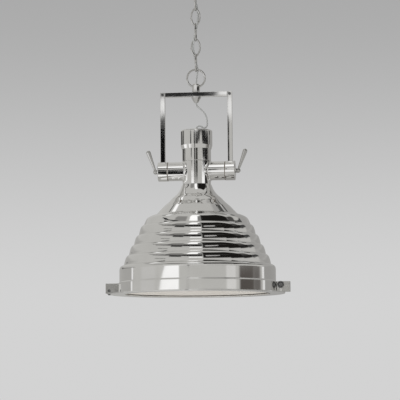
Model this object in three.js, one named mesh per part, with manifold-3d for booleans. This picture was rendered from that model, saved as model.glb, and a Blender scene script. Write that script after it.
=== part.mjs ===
// A ribbed metal pendant light: a ceiling canopy, a chain, a ring, a square-bar yoke with two clamp
// levers, a neck casting, a spun shade and a hinged bezel with a glass pane.
// Lengths are in millimetres and +Z is up. The ceiling plane is z = 0. Heights below are measured from
// the underside of the bezel, and the whole group is lowered so that the ceiling plate meets z = 0.
import * as THREE from "three";
import { mergeVertices } from "three/addons/utils/BufferGeometryUtils.js";
import Module from "manifold-3d";

const wasm = await Module();
wasm.setup();

// Clearances
const seat = 0.3; // between pieces that rest on each other
const running = 0.3; // round a shaft that turns
const loose = 0.5; // round the cord where it goes through a hole
const overrun = 2; // how far a cutter goes past the face that it cuts

// Arms of the neck
const armRadius = 26;
const armLength = 40; // out from the neck
const armDrop = 12; // from the arms down to the neck's lower face
const neckRim = 1; // over the arms, up to the neck's top face

// Neck
const neckRadius = 38.5;
const armHeight = armRadius + armDrop; // of the arms' axis, over the neck's lower face
const armReach = neckRadius + armLength;
const neckHeight = armHeight + armRadius + neckRim;
const neckWall = 8.5;
const neckBore = neckRadius - neckWall;
const ledgeWidth = 3;
const neckLowerBore = neckBore - ledgeWidth;
const ledgeHeight = 31; // of the ledge inside the neck, over its lower face
const spigotStep = 2.5;
const spigotRadius = neckRadius - spigotStep;
const spigotHeight = 14;
const stubLength = 13;
const shadeNutWidth = 4;
const shadeNutHeight = 9;
const sleeveStep = 1.2; // how far the sleeve stands out over the neck
const sleeveRadius = neckRadius + sleeveStep;
const sleeveHeight = 46;
const capStep = 4; // how far the cap stands out over the sleeve
const capRadius = sleeveRadius + capStep;
const capHeight = 53;
const capSkirt = 13; // how far the cap reaches down over the sleeve
const capChamfer = 10.5;
const capRoof = 5;
const capFillet = 5;
const capLip = 1;
const capWall = 5.7;
const gripWall = 1.4;
const gripFlange = 6.5;
const gripHeight = 3.5;

// Shade
const shadeWall = 1.2;
const hoopRadius = 216.5;
const hoopHeight = 29;
const bandStep = 2.5; // from the hoop in to the band
const bandRadius = hoopRadius - bandStep;
const bandHeight = 34;
const shoulderDepth = 12.5; // from the band in to the valley over its rounded shoulder
const shoulderRadius = bandRadius - shoulderDepth;
const shoulderHeight = 12.8;
const ribDepth = 54.9; // from that valley in to the highest one of the equal ribs
const ribsHeight = 109.8;
const ribCount = 4;
const topRibDepth = 34.8; // from there in to the valley over the top rib
const crownRadius = shoulderRadius - ribDepth - topRibDepth;
const crownHeight = 29.8;
const kinkDepth = 20.8;
const kinkRadius = crownRadius - kinkDepth;
const kinkHeight = 22.1;
const flareHeight = 59.5;
const throatStep = 1.8; // how far the shade's throat stands out under the neck
const throatRadius = neckRadius + throatStep;
const lipStep = 4.5;
const lipBore = neckRadius - lipStep;

// Bezel and glass
const bezelFlange = 22.5; // from the hoop out to the bezel's edge
const bezelRadius = hoopRadius + bezelFlange;
const bezelThickness = 3;
const upstandGap = 5.3; // inside the hoop, for the heads of the bracket screws
const upstandRadius = hoopRadius - shadeWall - upstandGap;
const upstandWall = 3;
const upstandHeight = 12;
const bezelLedge = 9; // under the glass
const bezelBore = upstandRadius - upstandWall - bezelLedge;
const gasketWidth = 7;
const gasketThickness = 1.5;
const glassThickness = 4;
const snapWidth = 3.5;
const snapThickness = 1.5;
const snapGap = 12; // between the ends of the split ring

// Clamps
const trunnionRadius = 12;
const washerThickness = 0.8;
const hubStep = 0.8; // how far a hub stands out over the arm
const hubRadius = armRadius + hubStep;
const hubWidth = 26.6;
const hubEndWall = 3.5;
const clampScrewRadius = 4;
const clampCollarRadius = 7;
const clampCollarWidth = 3;
const knuckleRadius = 6.7;
const knuckleNeck = 4.5;
const handleLength = 50;
const handleFoot = 3.2; // radius
const handleHead = 6.4; // radius
const handleSpigot = 2;
const handleLean = 0.35; // radians outward from upright

// Ring and chain
const ringRadius = 24.85; // to the centre of the wire
const ringWire = 2.5; // radius
const linkWire = 2.3; // radius
const linkHalfLength = 24;
const linkHalfWidth = 11.95;
const linkEndRadius = 5.4;
const bearing = 0.4; // between two wires that hang in each other
const linkCount = 5;

// Yoke
const barWidth = 13;
const yokeHeight = 220; // from the arms' axis to the top face of the bar
const socketDepth = 8;
const tongueThickness = 4.4;
const cornerScrewRadius = 2;
const cornerHeadRadius = 4;
const cornerHeadHeight = 2.2;
const studRadius = 10.7;
const studHeight = 23.7;
const studDome = 5;
const shankRadius = 5;
const shankReach = 8; // below the bar
const eyeRise = 1.35; // of the eye's centre over the ring's wire
const eyeRadius = ringWire + eyeRise + bearing;
const eyeDepth = 9.5; // of the ring's wire under the top of the stud
const glandRadius = 13.6;
const glandTip = 5.5;
const glandRim = 2;
const glandHeight = 16;

// Canopy
const loopRadius = 9;
const loopWire = 2.5;
const loopCollarRadius = 11;
const loopCollarHeight = 10;
const threadRadius = 5;
const canopyRadius = 57.5;
const canopyHeight = 42;
const canopyWall = 1.2;
const canopyRim = 6;
const plateStep = 9.5; // inside the canopy
const plateRadius = canopyRadius - plateStep;
const plateThickness = 3;
const plateHole = 2.8;
const plateHolePitch = 34;
const bushOffset = 30;
const bushRadius = 5;
const bushFlange = 7;
const terminalLength = 30;
const terminalWidth = 16;
const terminalHeight = 12;

// Lamp holder and bulb
const bridgeThickness = 3;
const bulbCapRadius = 13.4;
const bulbCapHeight = 36;
const holderWall = 6.1;
const holderRadius = bulbCapRadius + loose + holderWall;
const holderHeight = 41;
const holderCavity = 32;
const bulbRadius = 30;
const bulbHeight = 84;
const bulbWall = 1;

// Hinge and latch of the bezel
const lugStep = 1; // how much lower a lug is than the hoop
const lugHeight = hoopHeight - lugStep;
const lugThickness = 8;
const lugGap = 12; // between the two cheeks of a lug
const lugBase = 3.5;
const lugLift = 4; // over the underside of the bezel
const earWidth = 11;
const earWall = 3.5;
const earInset = 1;
const hingeArm = 17;
const notchMargin = 1;
const pinRadius = 2.5;
const pinHead = 4;
const pinHeadHeight = 2.2;
const hingeReach = 26.5; // from the hoop out to the hinge pin
const lugNose = 10; // from the hinge pin out to the end of the lugs
const lugReach = hingeReach + lugNose;
const hingeHeight = 12;
const knuckleOuter = 7;
const latchReach = 11.5; // from the hoop out to the latch screw
const latchHeight = 23;
const knobRadius = 9.5;
const knobHeight = 8;
const latchNutRadius = 6;
const latchNutHeight = 4.5;
const bracketScrewRadius = 2;
const bracketScrewHead = 3.5;
const bracketScrewHeadHeight = 1.5;

// Cord
const cordRadius = 2.1;
const cordWinding = 6.8; // how far the cord's centre swings round the chain's axis

// Facets of the round pieces
const wideFacets = 36;
const neckFacets = 28;
const armFacets = 20;
const smallFacets = 10;
const hexFacets = 6;
const ballFacets = 12;
const ballRings = 8;
const endRings = 6;
const wireSides = 8;
const linkSides = 6;
const ringSteps = 28;
const linkSteps = 20;
const loopSteps = 16;
const cordSides = 8;
const cordSteps = 48;
const slackSteps = 48;
const bendSteps = 12;
const weld = 1e-4; // corners closer than this become one

// Heights worked out from the sizes above, over the underside of the bezel
const hoopFoot = bezelThickness + seat;
const bandFoot = hoopFoot + hoopHeight;
const bandTop = bandFoot + bandHeight;
const ribFoot = bandTop + shoulderHeight;
const ribTop = ribFoot + ribsHeight;
const crownTop = ribTop + crownHeight;
const kinkTop = crownTop + kinkHeight;
const shadeTop = kinkTop + flareHeight;
const neckFoot = shadeTop + seat;
const armLevel = neckFoot + armHeight;
const neckTop = neckFoot + neckHeight;
const sleeveFoot = neckTop + seat;
const sleeveTop = sleeveFoot + sleeveHeight;
const capFoot = sleeveTop + seat - capSkirt;
const capTop = capFoot + capHeight;
const yokeTop = armLevel + yokeHeight;
const yokeUnder = yokeTop - barWidth;
const studFoot = yokeTop + seat;
const studTop = studFoot + studHeight;
const eyeLevel = studTop - eyeDepth;
const ringLevel = eyeLevel + ringRadius;
const linkPitch = 2 * (linkHalfLength - linkWire) - bearing;
const firstLink = ringLevel + ringRadius - ringWire - linkWire - bearing + linkHalfLength;
const topLink = firstLink + (linkCount - 1) * linkPitch;
const loopBottom = topLink + linkHalfLength - linkWire - loopWire - bearing;
const collarFoot = loopBottom + 2 * loopRadius - loopWire;
const canopyFoot = collarFoot + loopCollarHeight + seat;
const ceiling = canopyFoot + canopyHeight;

const hubInner = armReach + 2 * seat + washerThickness;
const hubOuter = hubInner + hubWidth;
const barCentre = (hubInner + hubOuter) / 2;
const boreRadius = trunnionRadius + running;
const lugInner = hoopRadius + seat;
const hingeX = -(hoopRadius + hingeReach);
const latchX = hoopRadius + latchReach;
const lugHalf = lugGap / 2 + lugThickness;

// Geometry helpers

function solid(geometry) {
  const bare = geometry.clone();
  bare.deleteAttribute("normal");
  bare.deleteAttribute("uv");
  const merged = mergeVertices(bare, weld);
  const corners = Array.from(merged.index.array);
  const triVerts = [];
  for (let i = 0; i < corners.length; i += 3) {
    const [a, b, c] = corners.slice(i, i + 3);
    if (a !== b && b !== c && c !== a) triVerts.push(a, b, c);
  }
  return new wasm.Manifold(
    new wasm.Mesh({
      numProp: 3,
      vertProperties: merged.attributes.position.array,
      triVerts: new Uint32Array(triVerts),
    }),
  );
}

function join(first, ...others) {
  return others.reduce((whole, other) => whole.add(other), first);
}

function cut(first, ...others) {
  return others.reduce((whole, other) => whole.subtract(other), first);
}

// A solid turned round Z from [radius, height] points that run anticlockwise round the section.
function turned(points, facets) {
  const outline = points.map(([radius, height]) => new THREE.Vector2(radius, height));
  return solid(new THREE.LatheGeometry(outline, facets).rotateX(Math.PI / 2));
}

// The same for a section that closes on itself.
function turnedRing(points, facets) {
  return turned([...points, points[0]], facets);
}

// A ring of rectangular section round Z.
function flatRing(inner, outer, low, high, facets) {
  return turnedRing([[inner, low], [outer, low], [outer, high], [inner, high]], facets);
}

function rodZ(radius, low, high, facets = smallFacets, x = 0, y = 0) {
  const rod = new THREE.CylinderGeometry(radius, radius, high - low, facets).rotateX(Math.PI / 2);
  return solid(rod.translate(x, y, (low + high) / 2));
}

function rodX(radius, low, high, facets = smallFacets, y = 0, z = 0) {
  const rod = new THREE.CylinderGeometry(radius, radius, high - low, facets).rotateZ(-Math.PI / 2);
  return solid(rod.translate((low + high) / 2, y, z));
}

function rodY(radius, low, high, facets = smallFacets, x = 0, z = 0) {
  const rod = new THREE.CylinderGeometry(radius, radius, high - low, facets);
  return solid(rod.translate(x, (low + high) / 2, z));
}

function block(x0, x1, y0, y1, z0, z1) {
  const box = new THREE.BoxGeometry(x1 - x0, y1 - y0, z1 - z0);
  return solid(box.translate((x0 + x1) / 2, (y0 + y1) / 2, (z0 + z1) / 2));
}

// A copy of a solid reflected to the other side of the plane x = 0, or the solid itself.
function sided(made, side) {
  return side < 0 ? made.mirror([1, 0, 0]) : made;
}

// A wire hoop: the centre of the wire follows outline(angle), which gives a point and its outward normal.
function wireHoop(wire, outline, steps, sides) {
  const reach = 4 * wire;
  const torus = new THREE.TorusGeometry(reach, wire, sides, steps);
  const position = torus.getAttribute("position");
  for (let i = 0; i < position.count; i += 1) {
    const angle = Math.atan2(position.getY(i), position.getX(i));
    const outward = Math.hypot(position.getX(i), position.getY(i)) - reach;
    const { point, normal } = outline(angle);
    const across = position.getZ(i);
    position.setXYZ(i, point.x + outward * normal.x, -across, point.y + outward * normal.y);
  }
  return solid(torus);
}

// A round tube along a smooth curve through the points.
function tube(points, radius, steps, sides) {
  const curve = new THREE.CatmullRomCurve3(points, false, "centripetal");
  const section = new THREE.Shape();
  for (let i = 0; i < sides; i += 1) {
    const angle = (2 * Math.PI * i) / sides;
    const x = radius * Math.cos(angle);
    const y = radius * Math.sin(angle);
    if (i === 0) section.moveTo(x, y);
    else section.lineTo(x, y);
  }
  section.closePath();
  return solid(new THREE.ExtrudeGeometry(section, { steps, extrudePath: curve, bevelEnabled: false }));
}

// The inner side of a wall: the same outline moved square to itself, with its sharpest corners held back.
const cornerShare = 0.5;

function offsetOutline(points, distance) {
  return points.map(([r, h], i) => {
    const [r0, h0] = points[Math.max(i - 1, 0)];
    const [r1, h1] = points[Math.min(i + 1, points.length - 1)];
    const before = new THREE.Vector2(r - r0, h - h0).normalize();
    const after = new THREE.Vector2(r1 - r, h1 - h).normalize();
    const along = before.clone().add(after).normalize();
    const reach = distance / Math.max(along.dot(i === 0 ? after : before), cornerShare);
    return [r - along.y * reach, h + along.x * reach];
  });
}

const pieces = [];

function piece(name, made, finish) {
  pieces.push({ name, made, finish });
}

// Finishes
const polished = { color: 0xc9c7c4, roughness: 0.12, metalness: 1 };
const darkSteel = { color: 0x8d8d8c, roughness: 0.35, metalness: 1 };
const clearCord = { color: 0xb9bbb8, roughness: 0.35, metalness: 0.1 };
const frosted = { color: 0xf0e6dc, roughness: 0.4, metalness: 0 };
const rubber = { color: 0x3a3a3a, roughness: 0.8, metalness: 0 };
const porcelain = { color: 0xeeece6, roughness: 0.35, metalness: 0 };
const plastic = { color: 0xe4e2dc, roughness: 0.5, metalness: 0 };
const fibre = { color: 0x9a8f80, roughness: 0.9, metalness: 0 };

// Shade

// Points of one rib from its upper valley down to its lower one, as shares of its depth and height.
const ribShares = [[0, 0], [0.45, 0.13], [0.78, 0.5]];
const topRibShares = [[0, 0], [0.45, 0.17], [0.76, 0.4], [0.93, 0.78]];
const shoulderShares = [[0, 0], [0.5, 0.14], [0.86, 0.45]];
const flareShares = [[1, 0], [0.694, 0.227], [0.525, 0.385], [0.31, 0.546], [0.122, 0.756]];

function ribPoints(shares, upper, lower) {
  const [upperRadius, upperHeight] = upper;
  const [lowerRadius, lowerHeight] = lower;
  return shares.map(([out, down]) => [
    upperRadius + out * (lowerRadius - upperRadius),
    upperHeight + down * (lowerHeight - upperHeight),
  ]);
}

function shadeOutline() {
  const points = [[throatRadius, shadeTop]];
  const flare = flareShares.map(([out, up]) => [
    throatRadius + out * (kinkRadius - throatRadius),
    kinkTop + up * flareHeight,
  ]);
  points.push(...flare.reverse());
  points.push(...ribPoints(topRibShares, [crownRadius, crownTop], [shoulderRadius - ribDepth, ribTop]));
  for (let i = 0; i < ribCount; i += 1) {
    const upper = [
      shoulderRadius - ribDepth * (1 - i / ribCount),
      ribTop - (i * ribsHeight) / ribCount,
    ];
    const lower = [upper[0] + ribDepth / ribCount, upper[1] - ribsHeight / ribCount];
    points.push(...ribPoints(ribShares, upper, lower));
  }
  points.push(...ribPoints(shoulderShares, [shoulderRadius, ribFoot], [bandRadius, bandTop]));
  points.push([bandRadius, bandTop]);
  points.push([bandRadius, bandFoot]);
  points.push([hoopRadius, bandFoot - shadeWall]);
  points.push([hoopRadius, hoopFoot]);
  return points.reverse();
}

function shadeSolid() {
  const outside = shadeOutline();
  const inside = offsetOutline(outside, shadeWall);
  inside[0] = [hoopRadius - shadeWall, hoopFoot];
  const last = inside.length - 1;
  inside[last] = [throatRadius - shadeWall, shadeTop - shadeWall];
  const section = [...outside, [lipBore, shadeTop], [lipBore, shadeTop - shadeWall], ...inside.reverse()];
  let shell = turnedRing(section, wideFacets);
  for (const side of [-1, 1]) {
    shell = cut(shell, sided(bracketScrewHole(), side));
  }
  return shell;
}

const bracketScrewLevel = hoopFoot + hoopHeight - bracketScrewHead - 2 * shadeWall;

function bracketScrewHole() {
  const radius = bracketScrewRadius + running;
  return rodX(radius, lugInner - lugBase, lugInner + lugBase - seat, smallFacets, 0, bracketScrewLevel);
}

// Neck

const filletShare = 0.3;
const retainedFoot = shadeTop - shadeWall - seat - shadeNutHeight;

function neckHousing() {
  const trunnionReach = hubOuter - hubEndWall - seat;
  const outside = turned(
    [
      [0, neckFoot - stubLength],
      [lipBore - running, neckFoot - stubLength],
      [lipBore - running, neckFoot],
      [neckRadius, neckFoot],
      [neckRadius, neckTop],
      [spigotRadius, neckTop],
      [spigotRadius, neckTop + spigotHeight],
      [0, neckTop + spigotHeight],
    ],
    neckFacets,
  );
  const arms = rodX(armRadius, -armReach, armReach, armFacets, 0, armLevel);
  const trunnions = rodX(trunnionRadius, -trunnionReach, trunnionReach, armFacets, 0, armLevel);
  const low = rodZ(neckLowerBore, neckFoot - stubLength - overrun, neckTop, neckFacets);
  const high = rodZ(neckBore, neckFoot + ledgeHeight, neckTop + spigotHeight + overrun, neckFacets);
  const screwHoles = [-1, 1].map((side) =>
    sided(
      rodX(clampScrewRadius + running, hubInner - overrun, hubOuter + overrun, smallFacets, 0, armLevel),
      side,
    ),
  );
  return cut(join(outside, arms, trunnions), low, high, ...screwHoles);
}

function shadeNut() {
  const top = retainedFoot + shadeNutHeight;
  return flatRing(lipBore, lipBore + shadeNutWidth, retainedFoot, top, neckFacets);
}

function sleeve() {
  return flatRing(spigotRadius + running, sleeveRadius, sleeveFoot, sleeveTop, neckFacets);
}

function cap() {
  const skirtInner = sleeveRadius + running;
  const ledge = capRadius - capWall;
  const roof = capTop - capRoof;
  const hole = gripStem + running;
  return turnedRing(
    [
      [skirtInner, capFoot],
      [skirtInner + capLip, capFoot],
      [capRadius, capFoot + capChamfer],
      [capRadius, capTop - capFillet],
      [capRadius - capFillet * filletShare, capTop - capFillet * filletShare],
      [capRadius - capFillet, capTop],
      [hole, capTop],
      [hole, roof],
      [ledge, roof],
      [ledge, sleeveTop + seat],
      [skirtInner, sleeveTop + seat],
    ],
    neckFacets,
  );
}

const gripStem = cordRadius + loose + gripWall;
const gripShares = [[1, 0], [0.9, 0.5], [0.6, 1]]; // of the flange's radius and height, from its foot up

function capGrip() {
  const bore = cordRadius + loose;
  const foot = capTop + seat;
  return turnedRing(
    [
      [bore, capTop - capRoof],
      [gripStem, capTop - capRoof],
      [gripStem, foot],
      ...gripShares.map(([out, up]) => [gripFlange * out, foot + gripHeight * up]),
      [bore, foot + gripHeight],
    ],
    smallFacets,
  );
}

// Lamp holder and bulb

const bridgeFoot = neckFoot + ledgeHeight + seat;
const holderTop = bridgeFoot - seat;
const holderFoot = holderTop - holderHeight;
const bulbCapTop = holderFoot + holderCavity - seat;
const bulbCapFoot = bulbCapTop - bulbCapHeight;
const bulbTop = bulbCapFoot - seat;

function bridge() {
  const top = bridgeFoot + bridgeThickness;
  return flatRing(cordRadius + loose, neckBore - running, bridgeFoot, top, neckFacets);
}

const holderTopShare = 0.7;

function lampHolder() {
  const cavity = bulbCapRadius + loose;
  return turned(
    [
      [0, holderFoot + holderCavity],
      [cavity, holderFoot + holderCavity],
      [cavity, holderFoot],
      [holderRadius, holderFoot],
      [holderRadius, holderTop - holderHeight / 4],
      [holderRadius * holderTopShare, holderTop],
      [0, holderTop],
    ],
    armFacets,
  );
}

const contactShare = 0.4;

function bulbCap() {
  const tip = bulbCapTop - bulbCapRadius / 4;
  return turned(
    [
      [0, bulbCapFoot],
      [bulbCapRadius, bulbCapFoot],
      [bulbCapRadius, tip],
      [bulbCapRadius * contactShare, bulbCapTop],
      [0, bulbCapTop],
    ],
    armFacets,
  );
}

// Points of the bulb's outline from the bottom up, as shares of its radius and height.
const bulbShares = [
  [0, 0], [0.5, 0.045], [0.85, 0.17], [1, 0.36], [0.93, 0.54], [0.7, 0.72], [0.5, 0.86], [0.43, 1],
];

function bulbGlass() {
  const outside = bulbShares.map(([out, up]) => [out * bulbRadius, bulbTop - bulbHeight + up * bulbHeight]);
  const inside = outside.slice(1).map(([r, h]) => [r - bulbWall, h]);
  inside.unshift([0, outside[0][1] + bulbWall]);
  inside[1][1] += bulbWall;
  return turned([...outside, ...inside.reverse()], armFacets);
}

// Clamps

const screwBore = clampScrewRadius + running;

function hub(side) {
  const barrel = rodX(hubRadius, hubInner, hubOuter, armFacets, 0, armLevel);
  const bore = rodX(boreRadius, hubInner - overrun, hubOuter - hubEndWall, armFacets, 0, armLevel);
  const screwHole = rodX(screwBore, hubInner, hubOuter + overrun, smallFacets, 0, armLevel);
  const half = barWidth / 2 + running;
  const hubTop = armLevel + hubRadius;
  const [inner, outer] = [barCentre - half, barCentre + half];
  const socket = block(inner, outer, -half, half, hubTop - socketDepth, hubTop + overrun);
  return sided(cut(barrel, bore, screwHole, socket), side);
}

function frictionWasher(side) {
  const disc = rodX(armRadius, armReach + seat, armReach + seat + washerThickness, armFacets, 0, armLevel);
  const hole = rodX(boreRadius, armReach, hubInner, armFacets, 0, armLevel);
  return sided(cut(disc, hole), side);
}

const knuckleX = hubOuter + seat + clampCollarWidth + knuckleNeck;

function clampScrew(side) {
  const shaft = rodX(clampScrewRadius, armReach + overrun, knuckleX, smallFacets, 0, armLevel);
  const collarFace = hubOuter + seat;
  const collar = rodX(clampCollarRadius, collarFace, collarFace + clampCollarWidth, armFacets, 0, armLevel);
  const sphere = new THREE.SphereGeometry(knuckleRadius, ballFacets, ballRings);
  const ball = solid(sphere.rotateY(handleLean).translate(knuckleX, 0, armLevel));
  const hole = handleShape(handleSpigot + running, handleSpigot + running, 0, knuckleRadius + overrun);
  return sided(cut(join(shaft, collar, ball), hole), side);
}

// A tapered rod along the handle's line, between two distances from the knuckle's centre.
function handleShape(footRadius, headRadius, low, high) {
  const rod = new THREE.CylinderGeometry(headRadius, footRadius, high - low, ballFacets).rotateX(Math.PI / 2);
  rod.translate(0, 0, (low + high) / 2).rotateY(handleLean).translate(knuckleX, 0, armLevel);
  return solid(rod);
}

function clampHandle(side) {
  const foot = knuckleRadius + seat;
  const crown = foot + handleLength;
  const spigot = handleShape(handleSpigot, handleSpigot, seat, foot + overrun);
  const grip = handleShape(handleFoot, handleHead, foot, crown);
  const end = new THREE.SphereGeometry(handleHead, ballFacets, endRings).rotateX(Math.PI / 2);
  const knob = solid(end.translate(0, 0, crown).rotateY(handleLean).translate(knuckleX, 0, armLevel));
  return sided(join(grip, spigot, knob), side);
}

// Yoke

const barInner = barCentre - barWidth / 2;
const barOuter = barCentre + barWidth / 2;

function cornerScrewLine(radius, low, high, side) {
  return sided(rodY(radius, low, high, smallFacets, barCentre, yokeTop - barWidth / 2), side);
}

function sideBar(side) {
  const half = barWidth / 2;
  const foot = armLevel + hubRadius - socketDepth + seat;
  const bar = block(barInner, barOuter, -half, half, foot, yokeTop);
  const slotHalf = tongueThickness / 2 + running;
  const [slotInner, slotOuter] = [barInner - overrun, barOuter + overrun];
  const slot = block(slotInner, slotOuter, -slotHalf, slotHalf, yokeUnder - seat, yokeTop + overrun);
  const hole = cornerScrewLine(cornerScrewRadius + running, -half - overrun, half - overrun, 1);
  return sided(cut(bar, slot, hole), side);
}

function topBar() {
  const half = barWidth / 2;
  const end = barInner - seat;
  const tongueHalf = tongueThickness / 2;
  const middle = block(-end, end, -half, half, yokeUnder, yokeTop);
  const tongues = block(-barOuter, barOuter, -tongueHalf, tongueHalf, yokeUnder, yokeTop);
  const shankHole = rodZ(shankRadius + running, yokeUnder - overrun, yokeTop + overrun, armFacets);
  const holes = [-1, 1].map((side) => cornerScrewLine(cornerScrewRadius + running, -half, half, side));
  return cut(join(middle, tongues), shankHole, ...holes);
}

const screwHeadShares = [[0, 0], [1, 0], [0.85, 0.6], [0.4, 1], [0, 1]]; // of its radius and height

function cornerScrew(side) {
  const half = barWidth / 2;
  const face = -half - seat;
  const shaft = cornerScrewLine(cornerScrewRadius, face - cornerHeadHeight / 2, half - overrun - seat, 1);
  const outline = screwHeadShares.map(([out, up]) => [cornerHeadRadius * out, cornerHeadHeight * up]);
  const head = turned(outline, smallFacets).rotate([90, 0, 0]);
  return sided(join(shaft, head.translate([barCentre, face, yokeTop - barWidth / 2])), side);
}

// Points of the stud's dome, as shares of its radius and of the dome's height, down from the top.
const domeShares = [[1, 1], [0.8, 0.3], [0.35, 0], [0, 0]];

function eyeStud() {
  const dome = domeShares.map(([out, down]) => [studRadius * out, studTop - studDome * down]);
  const body = turned([[0, studFoot], [studRadius, studFoot], ...dome], armFacets);
  const shank = rodZ(shankRadius, yokeUnder - shankReach, studFoot + overrun, armFacets);
  const eye = rodX(eyeRadius, -studRadius - overrun, studRadius + overrun, armFacets, 0, eyeLevel + eyeRise);
  const way = tube(entryRoute(), cordRadius + loose, bendSteps, cordSides);
  return cut(join(body, shank), eye, way);
}

function cordGland() {
  const top = yokeUnder - seat;
  const bottom = top - glandHeight;
  const step = yokeUnder - shankReach - seat;
  const threaded = shankRadius + running;
  const tip = cordRadius + loose;
  return turnedRing(
    [
      [tip, bottom],
      [glandTip, bottom],
      [glandRadius, top - glandRim],
      [glandRadius, top],
      [threaded, top],
      [threaded, step],
      [tip, step],
    ],
    armFacets,
  );
}

// Ring, chain and canopy

function hangingRing() {
  const outline = (angle) => {
    const normal = new THREE.Vector2(Math.cos(angle), Math.sin(angle));
    return { point: normal.clone().multiplyScalar(ringRadius), normal };
  };
  return wireHoop(ringWire, outline, ringSteps, wireSides).translate([0, 0, ringLevel]);
}

// A link's outline is four arcs: two small ones round its ends and two large ones along its sides.
function linkOutline(angle) {
  const ends = linkHalfLength - linkEndRadius;
  const sideRadius =
    (linkHalfWidth ** 2 + ends ** 2 - linkEndRadius ** 2) / (2 * (linkHalfWidth - linkEndRadius));
  const turn = Math.atan2(ends, sideRadius - linkHalfWidth);
  const normal = new THREE.Vector2(Math.cos(angle), Math.sin(angle));
  const onSide = Math.abs(normal.y) < Math.sin(turn);
  const centre = onSide
    ? new THREE.Vector2(Math.sign(normal.x) * (linkHalfWidth - sideRadius), 0)
    : new THREE.Vector2(0, Math.sign(normal.y) * ends);
  const radius = onSide ? sideRadius : linkEndRadius;
  return { point: centre.addScaledVector(normal, radius), normal };
}

// Link 1 hangs in the canopy's loop and the last link carries the ring. Each is square to the next.
function chainLink(number) {
  const level = topLink - (number - 1) * linkPitch;
  const quarterTurn = number % 2 === 1 ? 90 : 0;
  const link = wireHoop(linkWire, linkOutline, linkSteps, linkSides);
  return link.rotate([0, 0, quarterTurn]).translate([0, 0, level]);
}

const studReach = canopyFoot + seat; // the level of the plate's threaded stud's end

function ceilingPlate() {
  const disc = rodZ(plateRadius, ceiling - plateThickness, ceiling, neckFacets);
  const stud = rodZ(threadRadius, studReach - loopCollarHeight / 2, ceiling - plateThickness / 2, armFacets);
  const low = ceiling - plateThickness - overrun;
  const holes = [-1, 1].map((side) =>
    rodZ(plateHole, low, ceiling + overrun, smallFacets, side * plateHolePitch),
  );
  return cut(join(disc, stud), ...holes);
}

// Points of the canopy's outline from its centre out to its rim, as shares of its radius and height.
const canopyShares = [[0.55, 0], [0.75, 0.07], [0.89, 0.24], [0.97, 0.5]];

function canopy() {
  const outside = [
    [threadRadius + running, canopyFoot],
    ...canopyShares.map(([out, up]) => [out * canopyRadius, canopyFoot + up * (canopyHeight - canopyRim)]),
    [canopyRadius, ceiling - canopyRim],
    [canopyRadius, ceiling],
  ];
  const inside = offsetOutline(outside, canopyWall);
  inside[0][0] = outside[0][0];
  inside[inside.length - 1][1] = ceiling;
  const holeTop = canopyFoot + canopyWall + overrun;
  const hole = rodZ(bushRadius + running, canopyFoot - overrun, holeTop, smallFacets, 0, bushOffset);
  return cut(turnedRing([...outside, ...inside.reverse()], wideFacets), hole);
}

function canopyLoop() {
  const collar = rodZ(loopCollarRadius, collarFoot, collarFoot + loopCollarHeight, armFacets);
  const outline = (angle) => {
    const normal = new THREE.Vector2(Math.cos(angle), Math.sin(angle));
    return { point: normal.clone().multiplyScalar(loopRadius), normal };
  };
  const loop = wireHoop(loopWire, outline, loopSteps, wireSides).translate([0, 0, loopBottom + loopRadius]);
  const socketFloor = studReach - loopCollarHeight / 2 - seat;
  const socket = rodZ(threadRadius + running, socketFloor, canopyFoot + overrun, armFacets);
  return cut(join(collar, loop), socket);
}

function canopyBush() {
  const bore = cordRadius + loose;
  const top = canopyFoot + canopyWall + seat;
  const foot = canopyFoot - seat;
  const section = [
    [bore, foot - seat - canopyWall],
    [bushFlange, foot - canopyWall],
    [bushFlange, foot],
    [bushRadius, foot],
    [bushRadius, top + canopyWall],
    [bore, top + canopyWall],
  ];
  return turnedRing(section, smallFacets).translate([0, bushOffset, 0]);
}

function terminalBlock() {
  const top = ceiling - plateThickness - seat;
  const half = terminalLength / 2;
  const [near, far] = [bushOffset - terminalWidth / 2, bushOffset + terminalWidth / 2];
  return block(-half, half, near, far, top - terminalHeight, top);
}

// Cord routes, as lists of points chosen by hand

const quarter = Math.PI / 2;
const windingShares = [1, 0.5, 0, -0.5]; // of half a link's pitch, from the link's middle

// The cord winds through the chain: it crosses each link's middle a quarter turn further round.
function chainRoute() {
  const points = [
    new THREE.Vector3(0, bushOffset, terminalBlockFoot()),
    new THREE.Vector3(0, bushOffset, canopyFoot - 2),
    new THREE.Vector3(-1, bushOffset - 0.8, canopyFoot - 10),
    new THREE.Vector3(-4, bushOffset - 8, canopyFoot - 20),
    new THREE.Vector3(-7, bushOffset - 17.5, canopyFoot - 28),
  ];
  for (let link = 0; link < linkCount; link += 1) {
    for (const up of link === 0 ? windingShares.slice(1) : windingShares) {
      const angle = quarter * (1 - link) + (quarter / 2) * Math.sin(quarter * up);
      const level = topLink - link * linkPitch + (up * linkPitch) / 2;
      points.push(new THREE.Vector3(cordWinding * Math.cos(angle), cordWinding * Math.sin(angle), level));
    }
  }
  return points;
}

function terminalBlockFoot() {
  return ceiling - plateThickness - 2 * seat - terminalHeight;
}

// Inside the ring the cord comes to the stud, and goes down through it and the gland.
function entryRoute() {
  return [
    new THREE.Vector3(0.3, 8.6, studTop + 8),
    new THREE.Vector3(0, 7.8, studTop + 2),
    new THREE.Vector3(0, 6.1, eyeLevel + 2),
    new THREE.Vector3(0, 4.3, eyeLevel - 7),
    new THREE.Vector3(0, 1.6, studFoot + 1),
    new THREE.Vector3(0, 0.3, studFoot - 6),
    new THREE.Vector3(0, 0, yokeUnder - shankReach - 3),
  ];
}

function upperCordRoute() {
  const entry = entryRoute();
  entry[entry.length - 1].z = yokeUnder - shankReach;
  return [
    ...chainRoute(),
    new THREE.Vector3(4.8, 5, firstLink - linkPitch / 2),
    new THREE.Vector3(3.2, 7.4, ringLevel + 13),
    new THREE.Vector3(1, 8.7, ringLevel + 2),
    ...entry,
  ];
}

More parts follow.
